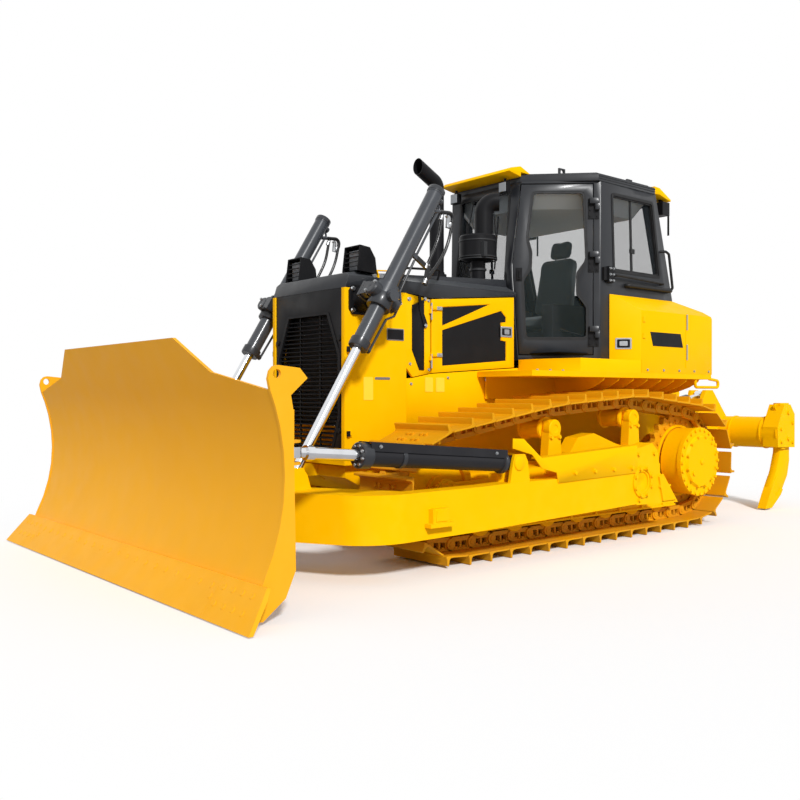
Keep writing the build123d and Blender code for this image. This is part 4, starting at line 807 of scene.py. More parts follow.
def track_frame_fittings():
    s = Shape()
    seats = []
    for k in (1, -1):
        # roller guard: ribs with bolts between them, folded lower and upper lips
        for x in range(-2250, -20, 310):
            s.slab([(x - 12, 196), (x + 12, 196), (x + 9, 366), (x - 9, 366)], k, 1100, 1124)
            seats += facing(k, 1102, ((x + 100, 250), (x + 200, 250)))
        s.box(-2430, -20, *across(k, 1096, 1120), 190, 206)
        s.box(-2362, -26, *across(k, 1096, 1120), 360, 378)
        # recoil housing's cover plate and its bolts
        housing = [(-2180, 470), (-1350, 470), (-1350, 620), (-1500, 680), (-1820, 700), (-2120, 628),
                   (-2180, 560)]
        s.slab(housing, k, 1090, 1112)
        cover = ((-2140, 500), (-1950, 500), (-1760, 500), (-1570, 500), (-1400, 500),
                 (-2100, 600), (-1800, 660), (-1520, 640), (-1400, 590))
        seats += facing(k, 1112, cover)
        # recoil spring's casting behind the cover
        casting = [(-1030, 560), (-1030, 705), (-1124, 820), (-1325, 850), (-1613, 756), (-2003, 668),
                   (-2149, 510)]
        s.slab(casting, k, 960, 1090)
        # carrier roller caps and straps
        for x, zp in CARRIER:
            zc = zp - 129
            cap = [(0, 1090), (70, 1090), (70, 1146), (60, 1154), (30, 1154), (26, 1148), (0, 1148)]
            s.turn((x, 0, zc), (0, k, 0), cap, 28)
            s.slab([(x - 84, 640), (x + 84, 640), (x + 62, zc - 20), (x - 62, zc - 20)], k, 1068, 1146)
            seats += facing(k, 1148, ((x - 46, zc - 64), (x + 46, zc - 64)))
        # front yoke's guide plate
        s.slab([(60, 440), (390, 440), (390, 540), (60, 530)], k, 1100, 1122)
        seats += facing(k, 1122, [(x, z) for x in (95, 190, 360) for z in (462, 512)])
    s.done("track_frame_fittings", "tractor", YELLOW, 2.0)
    bolts("track_frame_bolts", "tractor", seats, 26, 13, YELLOW)


track_frame_fittings()

# ------------------------------------------------------------ blade and arms --
# three points of the mouldboard's face, seen from the side
FACE = [(2077, 1177), (1991, 742), (2157, 150)]
EDGE = (202, 2300)      # cutting edge: its upper side and how far its tip reaches


def face_circle():
    # centre and radius of the mouldboard's curve
    (ax, az), (bx, bz), (cx, cz) = FACE
    d = 2 * (ax * (bz - cz) + bx * (cz - az) + cx * (az - bz))
    a2, b2, c2 = ax * ax + az * az, bx * bx + bz * bz, cx * cx + cz * cz
    ux = (a2 * (bz - cz) + b2 * (cz - az) + c2 * (az - bz)) / d
    uz = (a2 * (cx - bx) + b2 * (ax - cx) + c2 * (bx - ax)) / d
    return ux, uz, math.hypot(ax - ux, az - uz)


def face_x(z):
    ux, uz, r = face_circle()
    return ux - math.sqrt(r * r - (z - uz) ** 2)


def blade_fittings():
    heads = []
    z0, z1 = EDGE[0] + 5, 6
    x0, x1 = face_x(EDGE[0]) + 20, EDGE[1]
    front = Vector((z0 - z1, 0, x1 - x0)).normalized()

    def on_edge(t, y):
        # t of the way down the cutting edge's sloping face
        return (x0 + (x1 - x0) * t + front.x * 0.4, y, z0 + (z1 - z0) * t + front.z * 0.4)
    s = Shape()
    # one row along the edge, two rows and a corner bolt on each end bit
    for i in range(20):
        y = -1310 + i * 2620 / 19
        heads.append((on_edge(0.28, y), tuple(front)))
    for k in (-1, 1):
        for i in range(4):
            for row in (0.24, 0.62):
                heads.append((on_edge(row, k * (1430 + i * 95)), tuple(front)))
        heads.append((on_edge(0.5, k * 1350), tuple(front)))
    for p, w in heads:
        s.turn(p, w, [(0, -6), (19, -6), (19, 1.0), (16, 3.0), (7, 2.2), (0, 1.6)], 14)
    s.done("edge_bolt_heads", "blade", SHADED_BLADE_YELLOW)
    # nuts behind the edge
    nuts = [((p[0] - front.x * 48, p[1], p[2] - front.z * 48), tuple(-front)) for p, w in heads]
    bolts("edge_nuts", "blade", nuts, 32, 18, YELLOW)
    # back of the mouldboard: gussets, pads, weld seams and the middle stiffener
    s = Shape()
    for k in (-1, 1):
        for y in (1040, 1560):
            skin = [(face_x(z) - 12, z) for z in (560, 729, 900)]
            s.slab([(1925, 560), *skin, (1925, 900)], k, y - 8, y + 8)
        s.box(1918, 1928, *across(k, 1180, 1480), 600, 680)
    for z in (250, 540, 915, 1065):
        s.box(1919, 1931, -1680, 1680, z - 7, z + 7)
    s.side([(1925, 1080), (2006, 1080), (2044, 1180), (2062, 1180), (2030, 1060)], -40, 40)
    s.done("blade_back_gussets", "blade", YELLOW, 1.5)
    seats = [((1918, k * y, z), (-1, 0, 0)) for k in (-1, 1) for y in (1210, 1450) for z in (620, 660)]
    bolts("blade_back_bolts", "blade", seats, 22, 12, YELLOW)


blade_fittings()


ARM_PIVOT = (-1535, 472)
REAR_PIN, FRONT_PIN = (-110, 1330, 686), (1712, 1330, 834)     # of the angle cylinders


def arm_fittings():
    s, seats = Shape(), []
    for k in (1, -1):
        ax = (0, k, 0)
        # arm pivot's housing: cap ring, cover disc, bolts and clamp plate
        x, z = ARM_PIVOT
        c = (x, 0, z)
        s.ring(c, ax, 96, 128, 1396, 1412, 40)
        s.turn(c, ax, [(0, 1366), (88, 1366), (88, 1384), (80, 1390), (30, 1390), (24, 1386), (0, 1386)], 32)
        seats += circle((x, k * 1412, z), ax, 112, 8, 0.4)
        s.slab([(-1990, 300), (-1800, 300), (-1745, 500), (-1800, 520)], k, 1398, 1416)
        clamp = ((-1690, 690), (-1480, 690), (-1490, 330), (-1900, 330), (-1770, 420))
        seats += facing(k, 1401, clamp)
        # step plate, its bracket and the bracket's cover
        s.box(556, 764, *across(k, 1400, 1462), 326, 352)
        s.slab([(592, 350), (728, 350), (716, 442), (604, 442)], k, 1400, 1446)
        s.slab([(612, 362), (708, 362), (702, 430), (618, 430)], k, 1444, 1452)
        # bolts along the arm guard's upper edge
        seats += facing(k, 1410, [(x, 590) for x in (-1380, -1150, -920, -690)])
        # bosses at the angle cylinder's rear pin
        for y in (1266, 1394):
            boss = [(0, y - 14), (50, y - 14), (50, y + 8), (40, y + 14), (0, y + 14)]
            s.turn((REAR_PIN[0], 0, REAR_PIN[2]), ax, boss, 24)
    s.done("arm_fittings", "lift_frame", YELLOW, 2.0)
    bolts("arm_bolts", "lift_frame", seats, 26, 14, YELLOW)


def angle_cylinder_fittings():
    for k, side in ((1, "left"), (-1, "right")):
        a, e = (Vector((x, k * y, z)) for x, y, z in (REAR_PIN, FRONT_PIN))
        w = (e - a).normalized()
        # collars at both ends of the barrel and round its middle, the head's bolts and two ports
        s = Shape()
        s.turn(tuple(a), w, [(60, 108), (78, 108), (78, 132), (66, 140), (60, 140)], 32)
        head = [(60, 1278), (80, 1278), (80, 1346), (74, 1352), (38, 1352), (38, 1340), (60, 1340)]
        s.turn(tuple(a), w, head, 36)
        s.turn(tuple(a), w, [(60, 1010), (70, 1010), (70, 1040), (60, 1040)], 32)
        s.done("angle_collars_" + side, "angle_cylinder_" + side, BARREL, 1.2)
        up = Vector((-w.z, 0, w.x))
        st = [(tuple(a + w * d + Vector((0, k * 67, 0)) + up * 60), (0, k, 0)) for d in (230, 1230)]
        for q in [i * math.pi / 4 + 0.3 for i in range(8)]:
            out = up * math.cos(q) + Vector((0, 1, 0)) * math.sin(q)
            st.append((tuple(a + w * 1354 + out * 60), tuple(w)))
        bolts("angle_bolts_" + side, "angle_cylinder_" + side, st, 16, 9, STEEL)


arm_fittings()
angle_cylinder_fittings()


def lift_dressing():
    s, ends, yoke_bolts = Shape(), Shape(), []
    bearing, strip, bearing_bolts = Shape(), Shape(), []
    for k in (1, -1):
        t, e = (Vector((x, k * y, z)) for x, y, z in (TRUNNION, LIFT_EYE))
        w = (e - t).normalized()
        # gland and its collar at the barrel's lower end
        s.turn(tuple(t), w, [(60, 366), (72, 366), (72, 420), (68, 429), (35, 429), (35, 418), (60, 418)], 36)
        side, back = Vector((0, k, 0)), Vector(BEHIND_BARREL)

        def on(d, q, y=0.0, t=t, w=w, back=back, k=k):
            # d from the trunnion towards the head, q behind the barrel, y outward
            return tuple(t - w * d + back * q + Vector((0, k * y, 0)))
        # gimbal yoke: a boss before and behind the barrel, joined by an arm on its inner side
        for q in (1, -1):
            boss = [(0, 66), (58, 66), (58, 118), (48, 130), (20, 132), (0, 128)]
            s.turn(on(0, 0), tuple(back * q), boss, 22)
            a = [on(-52, q * 70, -40), on(52, q * 70, -40), on(52, q * 126, -40), on(-52, q * 126, -40)]
            s.prism([at(*v) for v in a], at(0, -k * 84, 0) - at(0, 0, 0))
            yoke_bolts += [(on(d, q * 112, -38), tuple(side), tuple(w)) for d in (40, -40)]
            yoke_bolts += [(on(d, q * 131, y), tuple(back * q)) for d, y in ((34, 30), (-34, -30))]
        a = [on(-60, -128, -100), on(60, -128, -100), on(60, 128, -100), on(-60, 128, -100)]
        s.prism([at(*v) for v in a], at(0, -k * 26, 0) - at(0, 0, 0))
        # head port's elbow, the hose ends, the head's cap and its port block
        ends.tube([on(869, 176), on(860, 196), on(795, 228)], 17, 12)
        for d, q, e in ((842, 232, 800), (838, 140, 800), (345, 256, 306), (440, 206, 404)):
            ends.tube([on(d, q), on(e, q + (d - e) * 0.10)], 15, 12)
        head = [(60, 930), (66, 930), (66, 962), (62, 968), (0, 968), (0, 964), (60, 964)]
        s.turn(on(0, 0), tuple(-w), head, 30)
        s.turn(on(905, 62), tuple(back), [(0, -10), (26, -10), (26, 18), (20, 24), (0, 24)], 14)
        # steel line along the barrel down to the gland's port block, and the trunnion's band
        run = ((392, 96), (120, 104), (60, 150), (-60, 152), (-120, 104), (-372, 96), (-392, 84))
        s.tube([on(d, q) for d, q in run], 9, 10)
        s.turn(on(-392, 60), tuple(back), [(0, 0), (22, 0), (22, 34), (16, 40), (0, 40)], 14)
        s.turn(tuple(t), w, [(60, -6), (86, -6), (88, 0), (88, 90), (84, 96), (60, 96)], 36)
        # bearing on the radiator housing: base plate, round housing, cap ring
        y0 = HOOD_SIDE + 0.6
        base = [(420, 1730), (640, 1730), (668, 1770), (668, 1900), (640, 1940), (440, 1940), (420, 1910)]
        bearing.slab(base, k, y0, y0 + 20)
        housing = [(0, y0 + 18), (98, y0 + 18), (86, y0 + 40), (80, 586), (72, 594), (0, 594)]
        bearing.turn((t.x, 0, t.z), (0, k, 0), housing, 36)
        bearing_bolts += facing(k, y0 + 20, [(x, z) for x in (446, 642) for z in (1760, 1912)])
        # bent strip on the hood's shoulder
        bent = [(372, 1976), (424, 1976), (424, 1984), (398, 1984), (392, 2030), (412, 2068), (300, 2074),
                (298, 2066), (398, 2060), (382, 2030), (384, 1984), (372, 1984)]
        strip.slab(bent, k, 452, 474)
    s.done("lift_barrel_collars", "lift_barrels", BARREL, 1.2)
    ends.done("lift_hose_ends", "lift_barrels", STEEL, 0.8)
    strip.done("hood_grab_strips", "tractor", YELLOW, 1.0)
    bolts("lift_yoke_bolts", "lift_barrels", yoke_bolts, 18, 10, STEEL)
    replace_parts(bearing.done("lift_bearings", "tractor", BLACK, 2.0), "lift_brackets")
    bolts("lift_bearing_bolts", "tractor", bearing_bolts, 26, 14, STEEL)


lift_dressing()

# ------------------------------------------------------- radiator and hood --
GUARD_X = 700.0     # front face of the radiator's guard
FRONT_LAMP_Y, REAR_LAMP_Y = 300, 805


def core_finish():
    f = Finish("radiator_fins", rgb(34, 34, 36), 0.5, metal=0.3)
    w = f.add("ShaderNodeTexWave", {"Scale": 90.0}, bands_direction="Y")
    f.join(f.place, w.inputs["Vector"])
    f.tint(rgb(14, 14, 15), w.outputs["Fac"])
    f.grain(w.outputs["Fac"], 0.6, 0.003)
    return f.done()


def front_dressing():
    s = Shape()
    # pressed border of the guard's opening and its round latches
    half = [(250, 1740), (385, 1440), (385, 1000), (300, 760)]
    ring = half + [(-y, z) for y, z in reversed(half)]
    outer = [(y * 1.055 + (8 if y > 0 else -8), 1250 + (z - 1250) * 1.03) for y, z in ring]
    rings = ((GUARD_X - 10, outer), (GUARD_X - 3, outer), (GUARD_X - 3, ring), (GUARD_X - 10, ring))
    s.skin([[at(x, y, z) for y, z in pts] for x, pts in rings], closed=True)
    for z in (1560, 900):
        for y in (405, -405):
            s.disc((GUARD_X - 8, y, z), (1, 0, 0), 20, 0, 12, 20)
    s.done("grille_border", "tractor", BLACK, 1.2)
    core = Shape()
    core.box(575, 600, -432, 432, 740, 1800)
    core.done("radiator_core", "tractor", core_finish(), 0, "engine_grey")
    clips = Shape()
    for k in (-1, 1):
        for z in (1480, 880):
            clips.box(GUARD_X - 60, GUARD_X - 20, *across(k, 470, 484), z - 24, z + 24)
            clips.box(GUARD_X - 52, GUARD_X - 28, *across(k, 484, 494), z - 12, z + 12)
    clips.done("grille_clips", "tractor", YELLOW, 2.0)


front_dressing()


def side_details():
    plate, rim, tag, metal, lever = (Shape() for i in range(5))
    screws = []
    for k in (-1, 1):
        def card(shape, x0, x1, z0, z1, y=HOOD_SIDE + 1, thick=2.0, k=k):
            # a thin plate with round corners on the side of the hood
            shape.slab(rounded([(x0, z0), (x1, z0), (x1, z1), (x0, z1)], 7, 3), k, y, y + thick)
        # blank rating plate in its rim, blank yellow labels, blank strip
        card(rim, 152, 316, 1559, 1648)
        card(plate, 160, 308, 1567, 1640, 479.0, 1.0)
        card(tag, 446, 532, 1119, 1285)
        card(tag, -140, -60, 1180, 1290, thick=1.0)
        card(tag, -260, -172, 1180, 1290, thick=1.0)
        card(rim, 287, 428, 1268, 1286)
        # folding handle of the access panel
        handle = ((-700, 476, 1298), (-700, 490, 1298), (-700, 490, 1268),
                  (-840, 490, 1268), (-840, 490, 1298), (-840, 476, 1298))
        metal.tube(bend([(x, k * y, z) for x, y, z in handle], 8), 5, 8)
        # paddle latch in its dish, and the door's hinge rods
        card(metal, -1024, -886, 1634, 1720, 476.0, 6.0)
        card(plate, -1008, -902, 1648, 1706, 482.0, 1.0)
        card(metal, -984, -926, 1656, 1698, 483.0, 5.0)
        for z0, z1 in ((1731, 1860), (1360, 1470)):
            metal.tube([(-118, k * 486, z0), (-118, k * 486, z1)], 8, 10)
        # strut lever over the corner plate, and its screws
        lever.slab([(14, 1912), (-8, 1912), (-30, 1800), (-76, 1700), (-70, 1668), (-44, 1668), (-34, 1700),
                    (4, 1800)], k, 480, 488)
        screws += facing(k, 477, ((103, 1876), (-60, 1888))) + facing(k, 488, ((-57, 1684),))
        # latch tongues at the housing's front edge
        for z in (1480, 880):
            lever.box(GUARD_X - 34, GUARD_X - 12, *across(k, 484, 500), z - 20, z + 20)
    plate.done("blank_plates", "tractor", BLACK, 0)
    rim.done("blank_plate_rims", "tractor", BLANK_GREY, 0)
    tag.done("blank_labels", "tractor", BLANK_YELLOW, 0)
    metal.done("side_latches", "tractor", STEEL, 0.6)
    lever.done("side_levers", "tractor", BLACK, 1.0)
    bolts("side_screws", "tractor", screws, 20, 8, STEEL)


def lamp_pods():
    # lamp pods: a hood round a louvred mouth, the lens behind the louvres
    s, lens = Shape(), Shape()
    for k in (-1, 1):
        cheek = [(404, 2040), (420, 2152), (470, 2226), (560, 2236), (584, 2050)]
        s.slab(cheek, k, 286, 294)
        s.slab(cheek, k, 466, 474)
        s.slab([(470, 2218), (470, 2226), (562, 2236), (562, 2228)], k, 290, 470)
        s.slab([(404, 2040), (420, 2152), (470, 2226), (478, 2220), (430, 2148), (414, 2040)], k, 290, 470)
        for i in range(4):
            z = 2080 + i * 34
            x = 578 - (z - 2050) * 0.13
            s.slab([(x - 18, z + 8), (x, z), (x + 1, z + 5), (x - 17, z + 13)], k, 290, 470)
        lens.box(520, 530, *across(k, 304, 456), 2066, 2206)
        # grab loop on the hood's shoulder
        rail = [(120, k * 420, 2030), (120, k * 452, 2110), (-240, k * 452, 2128), (-240, k * 420, 2050)]
        s.tube(bend(rail, 30), 9, 10)
    # lamps under the front visor and at the cab's rear corners
    for k in (-1, 1):
        lamps = ((-1150, -1098, FRONT_LAMP_Y, 2925, 44), (-2722, -2612, REAR_LAMP_Y, 2862, 60))
        for x0, x1, y, z, d in lamps:
            low, high = z - d, z + d
            s.slab([(x0, low + 4), (x0 + 4, low), (x1 - 4, low), (x1, low + 4),
                    (x1, high - 4), (x1 - 4, high), (x0 + 4, high), (x0, high - 4)], k, y - d, y + d)
        s.box(-1140, -1120, *across(k, FRONT_LAMP_Y - 8, FRONT_LAMP_Y + 8), 2960, 3006)
        s.box(-2690, -2650, *across(k, REAR_LAMP_Y - 10, REAR_LAMP_Y + 10), 2915, 2952)
        # plain mirror on its stem behind the rear visor
        s.tube(bend([(-2700, k * 800, 2930), (-2790, k * 800, 2930), (-2800, k * 800, 2860)], 20), 6, 8)
        s.box(-2804, -2796, *across(k, 791, 809), 2640, 2868)
    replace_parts(s.done("hood_fittings", "tractor", BLACK, 1.0), "work_lamps")
    lens.done("hood_lamp_lenses", "tractor", LENS, 0.5)


def engine_doors():
    # dark panels on the engine doors, and the straps of their hinges with small bolts
    for k, side in ((1, "left"), (-1, "right")):
        d = Shape()
        d.slab([(-241, 1835), (-241, 1694), (-765, 1890)], k, 467.6, 469.6)
        d.slab([(-241, 1657), (-241, 1383), (-957, 1440), (-957, 1598), (-897, 1604), (-897, 1752),
                (-957, 1758), (-957, 1798), (-900, 1846)], k, 467.6, 469.6)
        d.done("door_panels_" + side, "engine_door_" + side, BLACK, 0.4)
        h = Shape()
        for z in (1420, 1780):
            h.box(-232, -172, *across(k, 475, 488), z + 30, z + 58)
        h.done("door_straps_" + side, "engine_door_" + side, STEEL, 1.5)
        pts = facing(k, 488, [(x, z + 44) for z in (1420, 1780) for x in (-220, -196)])
        bolts("door_strap_bolts_" + side, "engine_door_" + side, pts, 9, 5, STEEL)
    upper = ((90, 1390), (90, 1880), (-100, 1350), (-96, 1876))
    lower = ((80, 930), (80, 1240), (-300, 1290), (-700, 1325), (-1080, 1350), (-1080, 940), (-500, 940))
    seats = [seat for places in (upper, lower) for k in (-1, 1) for seat in facing(k, 474.5, places)]
    bolts("hood_side_bolts", "tractor", seats, 16, 8, STEEL)


side_details()
lamp_pods()
engine_doors()


EXHAUST, PRE_CLEANER = (-560, 60), (-880, 225)


def stacks():
    # bands round the exhaust pipe and the pre-cleaner's bowl, and the bowl's outlets
    s = Shape()
    s.ring((*EXHAUST, 0), (0, 0, 1), 60, 66, 2160, 2176)
    s.done("exhaust_bands", "tractor", BLACK, 1.0)
    p = Shape()
    x, y = PRE_CLEANER
    for z in (2288, 2306, 2440):
        p.ring((x, y, 0), (0, 0, 1), 155, 162, z, z + 10, 44)
    p.ring((x, y, 0), (0, 0, 1), 60, 72, 2200, 2218)
    p.ring((x - 34, y + 34, 0), (0, 0, 1), 77, 84, 2478, 2494)
    p.box(x + 60, x + 96, y + 130, y + 168, 2300, 2420)
    p.done("pre_cleaner_bands", "tractor", PLASTIC, 1.0)


stacks()

# ------------------------------------------------------------------- cab --
# The cab's doors stand on a slant: front and rear posts, and the windows' outlines.
FRONT_POST, HINGE_POST = Vector((-1170, 400)), Vector((-1690, 862))
ALONG = (HINGE_POST - FRONT_POST).normalized()
OUT = Vector((ALONG.y, -ALONG.x))
DOOR_WIN = [(140, 2868), (560, 2868), (585, 2300), (508, 2190), (508, 2010), (590, 1905), (590, 1640),
            (74, 1640), (52, 2130), (120, 2232), (124, 2370), (92, 2480)]
SIDE_WIN = [(-1850, 2880), (-2440, 2880), (-2560, 2222), (-1880, 2222)]


def door(s, z, depth, k=1):
    # a point of the door: s along it from its front post, depth outward
    p = FRONT_POST + ALONG * s + OUT * depth
    return (p.x, k * p.y, z)


def door_slab(shape, k, u0, u1, z0, z1, d0, d1):
    # a plate lying on the slanting door, between two depths
    corners = ((u0, z0), (u1, z0), (u1, z1), (u0, z1))
    shape.prism([at(*door(u, z, d0, k)) for u, z in corners], at(*door(0, 0, d1, k)) - at(*door(0, 0, d0, k)))


def front_glass_x(z):
    return -1176 + (z - 1452) * (48 / 788) if z < 2240 else -1128 - (z - 2240) * (72 / 726)


def rear_glass_x(z):
    return -2757 + (z - 2030) * (267 / 936)


def seal(shape, pts, place, wide, d0, d1, r=34):
    # a rubber section run round a window: place(u, z, depth) puts a point in the pane's plane
    outer, inner = rounded(offset(pts, wide), r + wide), rounded(offset(pts, -wide), max(r - wide, 6))
    walls = ((outer, d0), (outer, d1), (inner, d1), (inner, d0))
    shape.skin([[at(*place(u, z, d)) for u, z in pts] for pts, d in walls], closed=True)


def doors_and_windows():
    fixed, catch, catch_bolts = Shape(), Shape(), []
    for k, side in ((1, "left"), (-1, "right")):
        place = lambda u, z, d, k=k: door(u, z, d, k)
        s = Shape()
        seal(s, DOOR_WIN, place, 7, -14, 3.5)
        seal(s, offset(DOOR_WIN, 15), place, 3, -6, 2.5, 46)
        s.done("door_seals_" + side, "cab_door_" + side, RUBBER, 0)
        # handle's plate, block and bar, and the plates of the three hinges
        h, hinge_bolts = Shape(), []
        door_slab(h, k, -12, 44, 2120, 2236, -2, 3)
        door_slab(h, k, 0, 30, 2136, 2220, 3, 18)
        h.tube([door(16, 2150, 20, k), door(16, 2210, 20, k)], 7)
        for z in (1640, 2270, 2720):
            door_slab(h, k, 600, 648, z - 74, z + 96, 1, 9)
            door_slab(h, k, 656, 690, z - 74, z + 96, 1, 9)
            places = [(u, z + dz) for dz in (-52, 0, 52) for u in (616, 676)]
            hinge_bolts += [(door(u, v, 9, k), (OUT.x, k * OUT.y, 0)) for u, v in places]
        # gas strut inside, low on the door
        h.tube([door(560, 1662, -56, k), door(380, 1720, -120, k)], 9)
        h.done("door_handle_" + side, "cab_door_" + side, BLACK, 1.2)
        bolts("door_hinge_bolts_" + side, "cab_door_" + side, hinge_bolts, 13, 6, BLACK)
        # side window: double seal, the sliding pane's bar and its latch
        flat = lambda u, z, d, k=k: (u, k * (870 + d), z)
        seal(fixed, SIDE_WIN, flat, 12, -20, 4)
        seal(fixed, offset(SIDE_WIN, -18), flat, 5, -24, -4, 26)
        fixed.slab([(-2150, 2232), (-2176, 2232), (-2150, 2872), (-2124, 2872)], k, 842, 852)
        fixed.box(-2190, -2130, *across(k, 846, 862), 2400, 2440)
        # door catch box behind the hinge post
        catch.box(-1840, -1764, *across(k, 868, 905), 2112, 2250)
        catch.box(-1764, -1716, *across(k, 868, 893 if k > 0 else 905), 2130, 2240)
        catch_bolts += facing(k, 905, [(x, z) for x in (-1822, -1782) for z in (2130, 2181, 2232)])
        # thick grab tube under the window, the rear corner's rail and the window's rail
        grab = ((-2040, 862, 2108), (-2040, 905, 2108), (-2690, 905, 2108), (-2690, 862, 2108))
        corner = ((-2690, 862, 2122), (-2712, 905, 2122), (-2650, 905, 2440), (-2600, 905, 2458),
                  (-2560, 862, 2458))
        rail = ((-1870, 868, 2180), (-1870, 915, 2180), (-2560, 915, 2160), (-2560, 868, 2160))
        for run, turn, r, n in ((grab, 30, 18, 14), (corner, 24, 12, 10), (rail, 24, 11, 10)):
            fixed.tube(bend([(x, k * y, z) for x, y, z in run], turn), r, n)
    # front and rear window seals
    front_win = [(-300, 2900), (300, 2900), (300, 2140), (220, 1640), (-220, 1640), (-300, 2140)]
    rear_win = [(-740, 2880), (740, 2880), (740, 2150), (-740, 2150)]
    seal(fixed, front_win, lambda u, z, d: (front_glass_x(z) + d, u, z), 10, -16, 4)
    seal(fixed, rear_win, lambda u, z, d: (rear_glass_x(z) - d, u, z), 10, -16, 4)
    fixed.done("cab_seals_and_rails", "tractor", RUBBER, 0)
    catch.done("door_catches", "tractor", BLACK, 2.0)
    bolts("door_catch_bolts", "tractor", catch_bolts, 15, 12, STEEL)


def wipers():
    # two on the front pane, one on the rear
    w = Shape()
    for k in (-1, 1):
        w.tube([(front_glass_x(2860) + 22, k * 120, 2860), (front_glass_x(2420) + 16, k * 200, 2420)], 5, 8)
        w.tube([(front_glass_x(2700) + 12, k * 190, 2700), (front_glass_x(2240) + 12, k * 190, 2240)], 7, 8)
        w.disc((front_glass_x(2872), k * 120, 2868), (1, 0, 0), 18, 0, 26, 16)
    w.tube([(rear_glass_x(2180) - 26, 60, 2180), (rear_glass_x(2600) - 20, 180, 2600)], 5, 8)
    w.done("wipers", "tractor", BLACK, 0.5)


def roof_and_lining():
    # ridges along the roof's edges
    r = Shape()
    for z in (2986, 3006):
        for k in (-1, 1):
            r.plan([(-1664, k * 872), (-1664, k * 878), (-2480, k * 878), (-2480, k * 872)], z, z + 5)
    r.done("roof_ridges", "tractor", GREY, 0.8)
    # lamp faces under the visors
    lamp = Shape()
    for k in (-1, 1):
        lamp.box(-1100, -1092, *across(k, FRONT_LAMP_Y - 38, FRONT_LAMP_Y + 38), 2887, 2963)
        lamp.box(-2730, -2721, *across(k, REAR_LAMP_Y - 50, REAR_LAMP_Y + 50), 2812, 2912)
    lamp.done("work_lamp_faces", "tractor", LENS, 2.0)
    # dark lining below the windows, pale headliner above them
    inner = Shape()
    for k in (-1, 1):
        inner.slab([(-2650, 1520), (-1760, 1520), (-1760, 2190), (-2560, 2190)], k, 816, 822)
        door_slab(inner, k, 60, 590, 1506, 1632, -54, -50)
    inner.box(-2640, -1250, -800, 800, 1506, 1512)
    rear_wall = [(-2668, 1506), (-2662, 1506), (-2662, 2030), (-2620, 2140), (-2626, 2140), (-2668, 2030)]
    inner.side(rear_wall, -800, 800)
    inner.done("cab_lining", "tractor", LINING, 0)
    head = Shape()
    low = [(-1300, -300), (-1720, -660), (-2430, -660), (-2430, 660), (-1720, 660), (-1300, 300)]
    high = [(-1280, -420), (-1690, -792), (-2470, -792), (-2470, 792), (-1690, 792), (-1280, 420)]
    head.skin([[at(x, y, 2762) for x, y in low], [at(x, y, 2916) for x, y in high]])
    head.done("headliner", "tractor", HEADLINER, 2.0)


doors_and_windows()
wipers()
roof_and_lining()


def stuffed(name, shape, cap):
    # a pad blown up inside its cover: no point travels further than cap
    o = show("rough_" + name, shape.mesh("rough_" + name))
    scene = bpy.context.scene

    def taken():
        seen = o.evaluated_get(bpy.context.evaluated_depsgraph_get())
        return bpy.data.meshes.new_from_object(seen)
    r = o.modifiers.new("even", "REMESH")
    r.mode, r.voxel_size = "VOXEL", 0.008
    even = taken()
    o.modifiers.clear()
    o.data = even
    start = [v.co.copy() for v in even.vertices]
    c = o.modifiers.new("swell", "CLOTH")
    c.settings.use_pressure, c.settings.uniform_pressure_force = True, 4.0
    c.settings.effector_weights.gravity = 0
    for i in range(1, 21):
        scene.frame_set(i)
    blown = [v.co.copy() for v in taken().vertices]
    scene.frame_set(1)
    o.modifiers.clear()
    for v, p, q in zip(even.vertices, start, blown):
        d = q - p
        v.co = p + d * min(1.0, cap / max(d.length, 1e-9))
    for p in even.polygons:
        p.use_smooth = True
    bpy.data.objects.remove(o)
    pad = settle(name, even, "tractor", SEAT_CLOTH)
    pad.modifiers.new("fine", "SUBSURF").levels = 1
    pad.modifiers["fine"].render_levels = 1
    return pad


def seat():
    # stand, slide rails and the head rest's posts, then the three padded pieces
    x = -1960
    base = Shape()
    base.box(x - 180, x + 180, -180, 180, 1498, 1740)
    for k in (-1, 1):
        base.box(x - 230, x + 240, *across(k, 228, 244), 1744, 1766)
        base.tube([(x - 250, k * 60, 2400), (x - 282, k * 60, 2580)], 7, 8)
    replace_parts(base.done("seat_stand", "tractor", PLASTIC, 4.0), "seat")

    def pad(w, h, r, layers, place):
        # rounded outlines 2 w by 2 h, layer by layer: (height, how far the outline is drawn in)
        rings = []
        for d, e in layers:
            a, b = w - e, h - e
            rings.append([at(*place(u, v, d)) for u, v in rounded([(-a, -b), (a, -b), (a, b), (-a, b)], r)])
        return Shape().skin(rings)
    cushion = pad(222, 234, 60, ((1774, 26), (1788, 2), (1850, 0), (1866, 26)),
                  lambda u, v, d: (x + 20 + u, v, d))
    stuffed("seat_cushion", cushion, 0.012)
    up, out = Vector((-110, 0, 640)).normalized(), Vector((640, 0, 110)).normalized()
    foot = Vector((x - 158, 0, 1900))

    def on_back(u, v, d):
        # the back narrows above its middle
        return foot + up * (285 + u) + out * d + Vector((0, v * (1 - 0.12 * max(0.0, u / 285)), 0))
    back = pad(275, 224, 70, ((-38, 24), (-28, 2), (38, 0), (52, 26)), on_back)
    stuffed("seat_back", back, 0.012)
    top = foot + up * 648
    rest = pad(82, 118, 50, ((-30, 18), (-20, 2), (16, 0), (26, 18)),
               lambda u, v, d: top + up * u + out * d + Vector((0, v, 0)))
    stuffed("head_rest", rest, 0.008)


seat()


